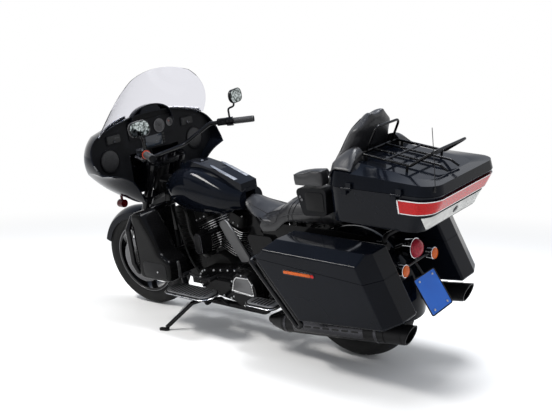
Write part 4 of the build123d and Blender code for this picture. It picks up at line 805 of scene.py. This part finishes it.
# ---- Leg shields, boards and guards
shields = remeshed("leg_shields", "leg_shields_round", 0.006)
smoothed(shields, 45)
dressed(shields, BLACK_FOR_PAINTED_SHADE, "chassis")
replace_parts(shields, "leg_shields")
shield_boxes = Piece("leg_shield_boxes", SATIN, slot="gloss_black")
shield_strips = Piece("leg_shield_strips", STEEL)
shield_screws = Piece("leg_shield_screws", SILVER)
for s in SIDES:
    shield_boxes.slab((1128, s * 361.2, 414), X * -s, Z, rounded(196, 92, 24), 3, 1.5)
    shield_strips.slab((1011, s * 288, 414), Y * s, Z, rounded(22, 96, 8), -8, 2)
    shield_screws.bolt((1103, s * 364.4, 408), (0, s, 0), 5)
finish(shield_boxes, shield_strips, shield_screws)

RIB_PITCH = 22
pads = Piece("floorboard_rubbers", RUBBER, slot="belt_rubber")
plates = Piece("floorboard_plates", STEEL)
edging = Piece("floorboard_edging", SILVER)
for s in SIDES:
    for x, y, length, width, corner in ((880, 330, 350, 138, 60), (385, 290, 200, 96, 40)):
        at = Vector((x, s * y, 318.2))
        plates.slab(at, X, Y, rounded(length - 14, width - 14, corner - 7, 8), 4, 1.5)
        ribs = int((length - 60) / RIB_PITCH)
        for k in range(ribs):
            shift = (k - (ribs - 1) / 2) * RIB_PITCH
            reach = width - (34 if abs(shift) < length / 2 - corner else 62)
            pads.slab(at + X * shift + Z * 4, X, Y, rounded(9, reach, 4, 3), 3, 1)
        edging.rim(at - Z * 7, X, Y, rounded(length + 2, width + 2, corner + 1, 10), 6.0, flat=0.4,
                   normal=(0.02, 0.01, 1))
finish(pads, plates, edging)

NOSE, TIP = Vector((345, 262, 216)), Vector((-470, 268, 302))
SHELL_R = 49.3          # just over the muffler's skin
bands = Piece("muffler_bands", DARK_METAL)
guards = Piece("muffler_shields", DARK_METAL, slot="satin_black")
# Thin dark slabs on the heat shields stand in for slots, and a dark disc inside each tip for the depth of the bore:
# painted shade, not openings.
slot_shades = Piece("muffler_painted_shade_slots", RUBBER)
for s in SIDES:
    nose, tip = on_side(NOSE, s), on_side(TIP, s)
    run = (tip - nose).normalized()
    for share in (0.13, 0.8):
        bands.lathe(nose + (tip - nose) * share, run, ((49.2, -8), (51, -7), (51, 7), (49.2, 8)), 48)
    side_way = (Y * s - run * run.dot(Y * s)).normalized()
    high_way = run.cross(side_way)
    high_way *= 1 if high_way.z > 0 else -1
    start, end = nose + (tip - nose) * 0.2, nose + (tip - nose) * 0.72
    rows = []
    for k in range(15):
        a = -0.5 + 1.4 * k / 14
        out = side_way * cos(a) + high_way * sin(a)
        skirt, lift = out * SHELL_R, out * (SHELL_R if k in (0, 14) else 52.5)
        rows.append([start + skirt, start + run * 6 + lift, end - run * 6 + lift, end + skirt])
    guards.rings(rows, closed=False)
    out = side_way * cos(0.2) + high_way * sin(0.2)
    for k in range(7):
        at = start + (end - start) * ((k + 0.75) / 7.5)
        slot_shades.slab(at + out * 52.2, run, out.cross(run), rounded(42, 9, 4.4, 5), 0.9, 0)
    slot_shades.lathe(tip - run * 60, run, ((39.8, 0), (39.5, 2), (0, 2)), 40)
finish(bands, guards, slot_shades)

PIVOT = Vector((925, 196, 214))
COILS = 18
spring = Piece("stand_spring", STEEL, "stand")
near, far = PIVOT + Vector((34, 58, 8)), Vector((1040, 372, 112))
_, u, v = across_to(far - near)
coil = []
for k in range(161):
    t = k / 160
    a = 2 * pi * COILS * t
    coil.append(near + (far - near) * (0.25 + 0.4 * t) + Z * 17 + (u * cos(a) + v * sin(a)) * 5.5)
spring.tube(coil, 1.3, 6)
spring.done()

# ---- Fairing
HOUSING_X = 1396.0      # face of the gauges' housings
KEY_X = 1393.8
BACK = -X
bezels = Piece("gauge_bezels", STEEL_DARKENED_FOR_SHADE)
faces = Piece("gauge_faces", DIAL, slot="black_plastic")
marks = Piece("gauge_marks", WHITE_MARK)
needles = Piece("gauge_needles", ACCENT)


def round_dial(a):
    """Direction from a dial's middle at an angle from its top."""
    return Y * -sin(a) + Z * cos(a)


LARGE, SMALL = (1160, 42, 4.0, 21, -100), (1166, 26, 3.0, 11, -40)
for y, (z, radius, lift, count, needle) in ((56, LARGE), (-56, LARGE), (140, SMALL), (-140, SMALL)):
    face = radius - 6.4
    at = Vector((HOUSING_X - 0.2, y, z))
    faces.lathe(at, BACK, ((face, 0), (face, 0.8), (0, 0.8)), 40)
    bezels.lathe(at + BACK * lift, BACK,
                 ((radius - 5.4, -1), (radius - 5.8, 0.4), (radius - 1, 0.4), (radius - 0.4, -1)), 40)
    for k in range(count):
        way = round_dial(radians(-130 + 260 * k / (count - 1)))
        length = 6 if k % 2 == 0 else 3.5
        marks.slab(at + BACK * 0.9 + way * (face - 3 - length / 2), way.cross(BACK), way,
                   rounded(1.1, length, 0.3, 1), 0.3, 0)
    way = round_dial(radians(needle))
    needles.slab(at + BACK * 2.2 + way * face * 0.34, way.cross(BACK), way, rounded(1.8, face * 0.9, 0.6, 2), 0.6, 0)
    faces.lathe(at + BACK * 1.2, BACK, ((face * 0.13, 0), (face * 0.13, 2.4), (0, 2.6)), 20)

display = Piece("dash_display", new_material("display_glass", (0.012, 0.016, 0.022), 0.06))
vary(display.mat, "Roughness", noise(display.mat, 40, 3), 0.04, 0.12)
display.slab((KEY_X, 0, 1080), -Y, Z, rounded(126, 66, 5), 1.6, 0.6)
keys = Piece("dash_keys", RUBBER, slot="black_plastic")
knobs = Piece("dash_knobs", DARK_METAL)
mesh_black = plastic("speaker_mesh", (0.012, 0.012, 0.012), 0.5, 700)
vary(mesh_black, "Base Color", cells(mesh_black, 240), (0.0, 0.0, 0.0), (0.018, 0.018, 0.019), 0.25, 0.45)
grilles = Piece("speaker_grilles", mesh_black, slot="black_plastic")
for s in SIDES:
    for k in range(4):
        keys.slab((KEY_X, s * 76, 1106 - 17 * k), -Y, Z, rounded(14, 11, 3), 2.5, 1)
    keys.slab((KEY_X + 3, s * 285, 1145), -Y, Z, rounded(92, 44, 8), 1.6, 0.8)
    knobs.lathe((1395, s * 285, 1132), BACK, ((8, 0), (8, 5), (6, 7), (0, 7)), 20)
    grilles.lathe((1401.8, s * 330, 1030), BACK, ((61.6, 0), (61, 1.5), (50, 4.6), (30, 6.8), (12, 7.8), (0, 8)), 48)
finish(bezels, faces, marks, needles, display, keys, knobs, grilles)

FOOT_ARC = ((1361, 430, 1165), (1540, 0, 1165))     # left end and middle of the windshield's foot
TOP_ARC = ((1121, 330, 1510), (1250, 0, 1510))


def arc_point(ends, t):
    """Point of a symmetrical arc through its left end and its middle, t from 0 in the middle to 1 or -1."""
    (x1, half, z), (x0, _, _) = ends
    rise = x0 - x1
    radius = (half**2 + rise**2) / (2 * rise)
    a = atan2(half, radius - rise) * t
    return Vector((x0 - radius + radius * cos(a), radius * sin(a), z))


trim = Piece("windshield_trim", SILVER)
for s in SIDES:
    strip = []
    for k in range(25):
        t = s * (0.3 + 0.62 * k / 24)
        foot, top = arc_point(FOOT_ARC, t), arc_point(TOP_ARC, t)
        where, normal = hit("fairing_shell", foot + (top - foot) * 0.7, foot - top)
        if where is not None:
            strip.append(where + normal * 4.5 + (top - foot).normalized() * 5 + BACK * 4)
    if len(strip) > 3:
        trim.tube(smooth_path(strip, 3), 3.4, 12, flat=3.2, normal=(-0.3, 0, 1))

COWL_RINGS = ((1374, 158, 1299), (1405, 160, 1299), (1425, 150, 1284), (1440, 138, 1266), (1455, 120, 1250))
COWL_FOOT, COWL_WALL = 1196, 7


def cowl_arch(x, half, top):
    """Arch of the hood over the gauges, from its left foot to its right one."""
    turns = [pi * k / 32 for k in range(33)]
    return [Vector((x, half * cos(a), COWL_FOOT + (top - COWL_FOOT) * sin(a) ** 0.8)) for a in turns]


cowl = Piece("gauge_cowl", BLACK, slot="body_paint")
cowl.rings([[*cowl_arch(x, half, top), *cowl_arch(x, half - COWL_WALL, top - COWL_WALL)[::-1]]
            for x, half, top in COWL_RINGS], caps=(True, True))
reflectors = Piece("headlamp_reflectors", CHROME)
for s in SIDES:
    reflectors.lathe((1735.4, s * 92, 938), X, ((54.8, -2), (55.6, 1), (53, 3.4), (50, 3.4), (49, 0.3)), 56)
trim.done()
cowl.done(50)
reflectors.done()

# ---- Handlebar and mirrors
GRIP_END, ELBOW = Vector((957, 445, 1100)), Vector((1192, 306, 1106))
GRIP_GREY = plastic("grip_rubber", (0.02, 0.02, 0.021), 0.42, 400, 0.0004, shine=0.5)
grips = Piece("grips", GRIP_GREY, "steering")
caps = Piece("grip_caps", PLASTIC, "steering", "black_plastic")
houses = Piece("switch_housings", PLASTIC, "steering", "black_plastic")
levers = Piece("levers", TUBE_BLACK, "steering", "gloss_black")
accent = Piece("switch_ring", ACCENT, "steering")
glasses = Piece("mirror_glasses", MIRROR_PAINTED_REFLECTION, "steering")
rims = Piece("mirror_rims", TUBE_BLACK, "steering", "gloss_black")
for s in SIDES:
    end, elbow = on_side(GRIP_END, s), on_side(ELBOW, s)
    way = (elbow - end).normalized()
    forward = (X - way * way.x).normalized()
    over = way.cross(forward)
    flip = 1 if over.z > 0 else -1
    profile = [(17.8, 1.5)]
    for k in range(11):
        a = 6 + k * 10.6
        profile += [(18.5, a), (19.9, a + 1.6), (19.9, a + 7.4), (18.5, a + 9)]
    grips.lathe(end, way, [*profile, (17.8, 124)])
    caps.lathe(end - way * 0.2, -way, ((18.6, -2), (18.6, 0), (16, 1.6), (0, 1.8)))
    seat_of = end + way * 148
    houses.slab(seat_of + forward * 20 - Z * 16, way, Z, rounded(38, 30, 6), 10, 2)
    houses.slab(end + way * 196 + forward * 8 - over * (18 * flip), way, forward, rounded(62, 46, 10), 40 * flip, 4)
    for k in range(3):
        houses.slab(seat_of - forward * 26 + Z * (10 - 10 * k), way, Z, rounded(12, 7, 3), -4, 1)
    pivot = end + way * 158 + forward * 38 + Z * 2
    levers.tube(smooth_path((pivot, pivot - way * 40 + forward * 8, end + way * 60 + forward * 46,
                             end + way * 6 + forward * 40), 5), 6.5, flat=0.7, normal=Z)
    levers.tube((end + way * 152 + Z * 4, pivot + way * 4), 9, 12)
    if s > 0:
        accent.lathe(end + way * 120, way, ((18.2, 0), (23, 0.6), (23, 6), (18.2, 6.6)), 32)
    at = Vector((1040, s * 414, 1252))
    face = Vector((-1, s * 0.14, 0.05)).normalized()
    right = Z.cross(face).normalized()
    up = face.cross(right)
    glasses.slab(at + face * 0.4, right, up, rounded(122, 74, 33, 8), 1.0, 0.4)
    rims.rim(at + face * 0.6, right, up, rounded(128, 80, 36, 10), 1.8)
finish(grips, caps, houses, levers, accent, glasses, rims)

# ---- Tank
console = Piece("console_trim", CHROME)
strips = Piece("console_strips", STEEL)
slope = Vector((174, 0, 67)).normalized()
STRIP = ((-112, -9), (70, -6), (92, 2), (70, 10), (-112, 15))
for s in SIDES:
    middle = Vector((806, s * 44, 926.4))
    strips.slab(middle, slope, Y, [(x, s * y) for x, y in STRIP[::s]], 1.6, 0.5)
    console.rim(middle + Z * 0.8, slope, Y * s, STRIP, 1.1)
door_lock = Piece("fuel_door_lock", CHROME, "fuel_flap")
door_lock.lathe((1000, 0, 971.2), Z, ((9, 0), (9, 2), (7, 3.4), (3, 3.4), (2.6, 2), (0, 2)), 24)
finish(console, strips, door_lock)

# ---- Luggage
TRUNK_AT = Vector((-370, 0, 955))       # middle of the seam between the trunk's base and lid
TRUNK_X = Vector((1, 0, 0.04885)).normalized()
TRUNK_UP = Vector((-0.04885, 0, 1)).normalized()
BOWL_DEPTH = 170


def bowl_ring(depth, grow, high):
    """Outline of the trunk's base at a depth under the seam, as far forward as a limit."""
    share = depth / BOWL_DEPTH
    shift = 45 * share
    outline = rounded(560 - 90 * share + 2 * grow, 590 - 60 * share + 2 * grow, 84 - 20 * share + grow, 10)
    dense = []
    for (ax, ay), (bx, by) in zip(outline, [*outline[1:], outline[0]]):
        steps = max(1, int((abs(bx - ax) + abs(by - ay)) / 12))
        dense += [(ax + (bx - ax) * k / steps + shift, ay + (by - ay) * k / steps) for k in range(steps)]
    kept = sorted([p for p in dense if p[0] < high], key=lambda p: atan2(p[1], -(p[0] - shift)))
    return [TRUNK_AT + TRUNK_X * x + Y * y - TRUNK_UP * depth for x, y in kept]


def bowl_band(piece, top, bottom, grow, high, thick):
    """Thin strip of skin round the rear of the trunk's base."""
    rings = [bowl_ring(top, grow - thick, high), bowl_ring(top, grow, high),
             bowl_ring(bottom, grow, high), bowl_ring(bottom, grow - thick, high)]
    n = min(len(ring) for ring in rings)
    piece.rings([[ring[round(k * (len(ring) - 1) / (n - 1))] for ring in rings] for k in range(n)],
                caps=(True, True))


# A pale grey band round the rear of the trunk's base, where the paint is black: painted reflection.
reflection_band = Piece("trunk_rear_painted_reflection", PAINTED_REFLECTION_GREY, slot="body_paint")
bowl_band(reflection_band, 100, 162, 3.4, -192, 3)
bezel = Piece("trunk_lamp_bezel", SILVER)
bowl_band(bezel, 19, 23.6, 9.6, -109, 3)
bowl_band(bezel, 80.4, 84, 9.0, -109, 3)
for s in SIDES:
    bezel.tube([TRUNK_AT + TRUNK_X * -107 - TRUNK_UP * depth + Y * (s * (301 - 30 * depth / BOWL_DEPTH))
                for depth in (20, 50, 83)], 5, 8)
lock = Piece("trunk_lock", DARK_METAL, slot="gloss_black")
where, normal = hit("trunk_base", TRUNK_AT - TRUNK_UP * 128 - TRUNK_X * 240 - X * 200, X)
if where is not None:
    lock.lathe(where + normal * 1.8, normal, ((17, -1), (17, 3), (14, 5), (5, 5), (4, 3), (0, 3)))
antenna = Piece("antenna", TUBE_BLACK, "trunk_top", "gloss_black")
foot = Vector((-633, 258, 966))
antenna.tube((foot, foot + Vector((-4, 1, 14)), foot + Vector((-10, 4, 120)), foot + Vector((-14, 8, 262))), 1.6, 8)
antenna.lathe(foot, Vector((-0.2, 0.1, 1)), ((5, -6), (6, -5), (5, 8), (2.4, 14), (0, 14)), 16)

# The side reflectors take the glowing lens materials: a painted glow on parts that are no lamps.
side_amber = Piece("side_reflectors", AMBER, slot="amber_lens")
side_red = Piece("side_reflector_ends", RED, slot="red_lens")
side_frames = Piece("reflector_frames", DARK_METAL)
pod_locks = Piece("pod_locks", STEEL_DARKENED_FOR_SHADE)
pod_panels = Piece("pod_panels", SATIN, slot="black_plastic")
for s in SIDES:
    at = Vector((12, s * 425.2, 577))
    side_amber.slab(at, X * -s, Z, rounded(158, 14, 5), 5, 1.5)
    side_red.slab(at - X * 90, X * -s, Z, rounded(18, 14, 5), 5, 1.5)
    side_frames.rim(at + Vector((-8, s * 1.5, 0)), X, Z, rounded(182, 20, 8, 5), 2.0)
    for x, z in ((68, 897), (60, 884)):
        pod_locks.lathe((x, s * 272.2, z), (0, s, 0), ((7, 0), (7, 2.4), (5.6, 3), (4.4, 1.2), (0, 1.2)), 24)
    pod_panels.slab((-14, s * 272.2, 878), X * -s, Z, rounded(104, 88, 14), 2.4, 1.2)
finish(reflection_band, bezel, lock, antenna, side_amber, side_red, side_frames, pod_locks, pod_panels)

# ---- Rear lamps and plate
LAMP_AT = Vector((-352, 0, 606))
SIGNAL_Y, SIGNAL_Z = 130, 540
dome = Piece("tail_lamp_lens", ROSE, slot="red_lens")
dome.lathe(LAMP_AT, BACK, ((46.4, 4), (46.8, 7), (43.5, 18), (38, 27), (32, 32.4), (22, 37.4), (10, 41), (0, 42)), 56)
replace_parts(dome.done(), "tail_lamps")
housings = Piece("tail_lamp_housing", CHROME)
housings.lathe(LAMP_AT, BACK, ((39, -42), (40, -41), (46.6, 3), (48.4, 4), (48.4, 8), (46, 9)), 56)
signals = Piece("rear_signal_lenses", AMBER, slot="amber_lens")
bracket = Piece("lamp_bracket", TUBE_BLACK, slot="gloss_black")
bracket.tube((Vector((-262, 0, 585)), LAMP_AT + X * 38), 25, 24)
bracket.tube((LAMP_AT - Z * 40, Vector((-350, 0, SIGNAL_Z))), 9.5, 16)
bracket.tube([Vector((-352, s * SIGNAL_Y, SIGNAL_Z)) for s in SIDES], 8.8, 16)
PLATE_TOP, PLATE_FOOT = Vector((-390, 0, 480)), Vector((-478, 0, 322))
plate_up = (PLATE_TOP - PLATE_FOOT).normalized()
plate_out = Vector((-0.8737, 0, 0.4865))
centre = (PLATE_TOP + PLATE_FOOT) / 2
plate_frame = Piece("plate_frame", TUBE_BLACK, slot="gloss_black")
plate_frame.rim(centre + plate_out * 1.2, Y, plate_up, rounded(182, 182, 9, 4), 3.2)
plate_frame.tube((centre + plate_up * 88 - plate_out * 3, Vector((-352, 0, 528))), 9, 12)
plate_bolts = Piece("plate_bolts", SILVER)
for s in SIDES:
    at = Vector((-378, s * SIGNAL_Y, SIGNAL_Z))
    signals.lathe(at, BACK, ((28.4, -2), (28.6, 2), (26, 6.6), (17, 10), (8, 11.4), (0, 11.8)), 40)
    housings.lathe(at, BACK, ((24, -34), (28, -32), (29.8, -2), (30.6, 1.8), (29, 3)), 40)
    for rise in (72, -72):
        plate_bolts.bolt(centre + Y * (s * 58) + plate_up * rise + plate_out * 1.8, plate_out, 6)
finish(signals, housings, bracket, plate_frame, plate_bolts)

# ---- Floor, light and camera
PALE = 0.84
FADE_FROM, FADE_TO = 2.6, 6.5      # metres from the object over which the floor goes over to white


def wire(links, *pairs):
    """Links, each from a node's output to a node's input."""
    for start, output, end, socket in pairs:
        links.new(start.outputs[output], end.inputs[socket])


def floor():
    """Pale ground that goes over to white where the camera sees it far off."""
    bpy.ops.mesh.primitive_circle_add(vertices=96, radius=60, fill_type="NGON")
    disc = bpy.context.object
    disc.name = "floor"
    mat = new_material("floor", (PALE, PALE, PALE), 0.9, Specular_IOR_Level=0.1)
    nodes, links, shader = tree(mat)
    white, where = shader_node(nodes, "Emission"), shader_node(nodes, "TexCoord")
    seen, mix = shader_node(nodes, "LightPath"), shader_node(nodes, "MixShader")
    far = shader_node(nodes, "VectorMath", "LENGTH")
    fade = shader_node(nodes, "MapRange", From_Min=FADE_FROM, From_Max=FADE_TO)
    fade.interpolation_type = "SMOOTHSTEP"
    any_ray, both = shader_node(nodes, "Math", "MAXIMUM"), shader_node(nodes, "Math", "MULTIPLY")
    wire(links, (where, "Object", far, 0), (far, "Value", fade, "Value"),
         (seen, "Is Camera Ray", any_ray, 0), (seen, "Is Transmission Ray", any_ray, 1),
         (fade, "Result", both, 0), (any_ray, "Value", both, 1), (both, "Value", mix, "Fac"),
         (shader, "BSDF", mix, 1), (white, "Emission", mix, 2), (mix, "Shader", nodes["Material Output"], "Surface"))
    wear(disc, mat)


def world():
    """White around, seen as it is by camera, gloss and glass; a plain level lights the object."""
    around = bpy.data.worlds.new("world")
    bpy.context.scene.world = around
    around.use_nodes = True
    nodes, links = around.node_tree.nodes, around.node_tree.links
    lit = nodes["Background"]
    lit.inputs["Color"].default_value = (0.93, 0.96, 1.0, 1)
    lit.inputs["Strength"].default_value = 0.75
    white, where, split, ramp, seen, mix = (shader_node(nodes, kind) for kind in (
        "Background", "TexCoord", "SeparateXYZ", "ValToRGB", "LightPath", "MixShader"))
    low, high = ramp.color_ramp.elements
    low.position, low.color = 0.3, (1, 1, 1, 1)
    high.position, high.color = 0.85, (0.42, 0.52, 0.72, 1)
    first, second = shader_node(nodes, "Math", "MAXIMUM"), shader_node(nodes, "Math", "MAXIMUM")
    wire(links, (where, "Generated", split, "Vector"), (split, "Z", ramp, "Fac"), (ramp, "Color", white, "Color"),
         (seen, "Is Camera Ray", first, 0), (seen, "Is Glossy Ray", first, 1), (first, "Value", second, 0),
         (seen, "Is Transmission Ray", second, 1), (second, "Value", mix, "Fac"), (lit, "Background", mix, 1),
         (white, "Background", mix, 2), (mix, "Shader", nodes["World Output"], "Surface"))


def area_light(name, where, towards, size, power, colour):
    light = bpy.data.lights.new(name, "AREA")
    light.shape = "ELLIPSE"
    light.size, light.size_y = size
    light.energy = power
    light.color = colour
    lamp = new_object(name, light)
    lamp.location = where
    lamp.rotation_euler = (Vector(towards) - Vector(where)).to_track_quat("-Z", "Y").to_euler()


CAMERA_AT = rear_axle + Vector((-2.16042, 3.09061, 0.86725))
CAMERA_TO = rear_axle + Vector((0.60538, -0.06219, 0.38595))
ROLL = radians(0.3)
LENS = 49.5


def camera():
    eye = new_object("camera", bpy.data.cameras.new("camera"))
    eye.data.lens = LENS
    eye.data.sensor_width = 36
    eye.location = CAMERA_AT
    aim = (CAMERA_TO - CAMERA_AT).to_track_quat("-Z", "Y").to_matrix()
    eye.rotation_euler = (aim @ Matrix.Rotation(ROLL, 3, "Z")).to_euler()
    bpy.context.scene.camera = eye


floor()
world()
area_light("sun_side", (1.8, 2.6, 4.2), (0, 0, 0.6), (2.8, 0.5), 190, (1, 0.98, 0.95))
area_light("overhead", (-0.9, -0.6, 4.4), (-0.2, 0, 0.5), (2.6, 1.6), 170, (0.97, 0.98, 1))
camera()
bpy.context.scene.view_settings.view_transform = "Standard"
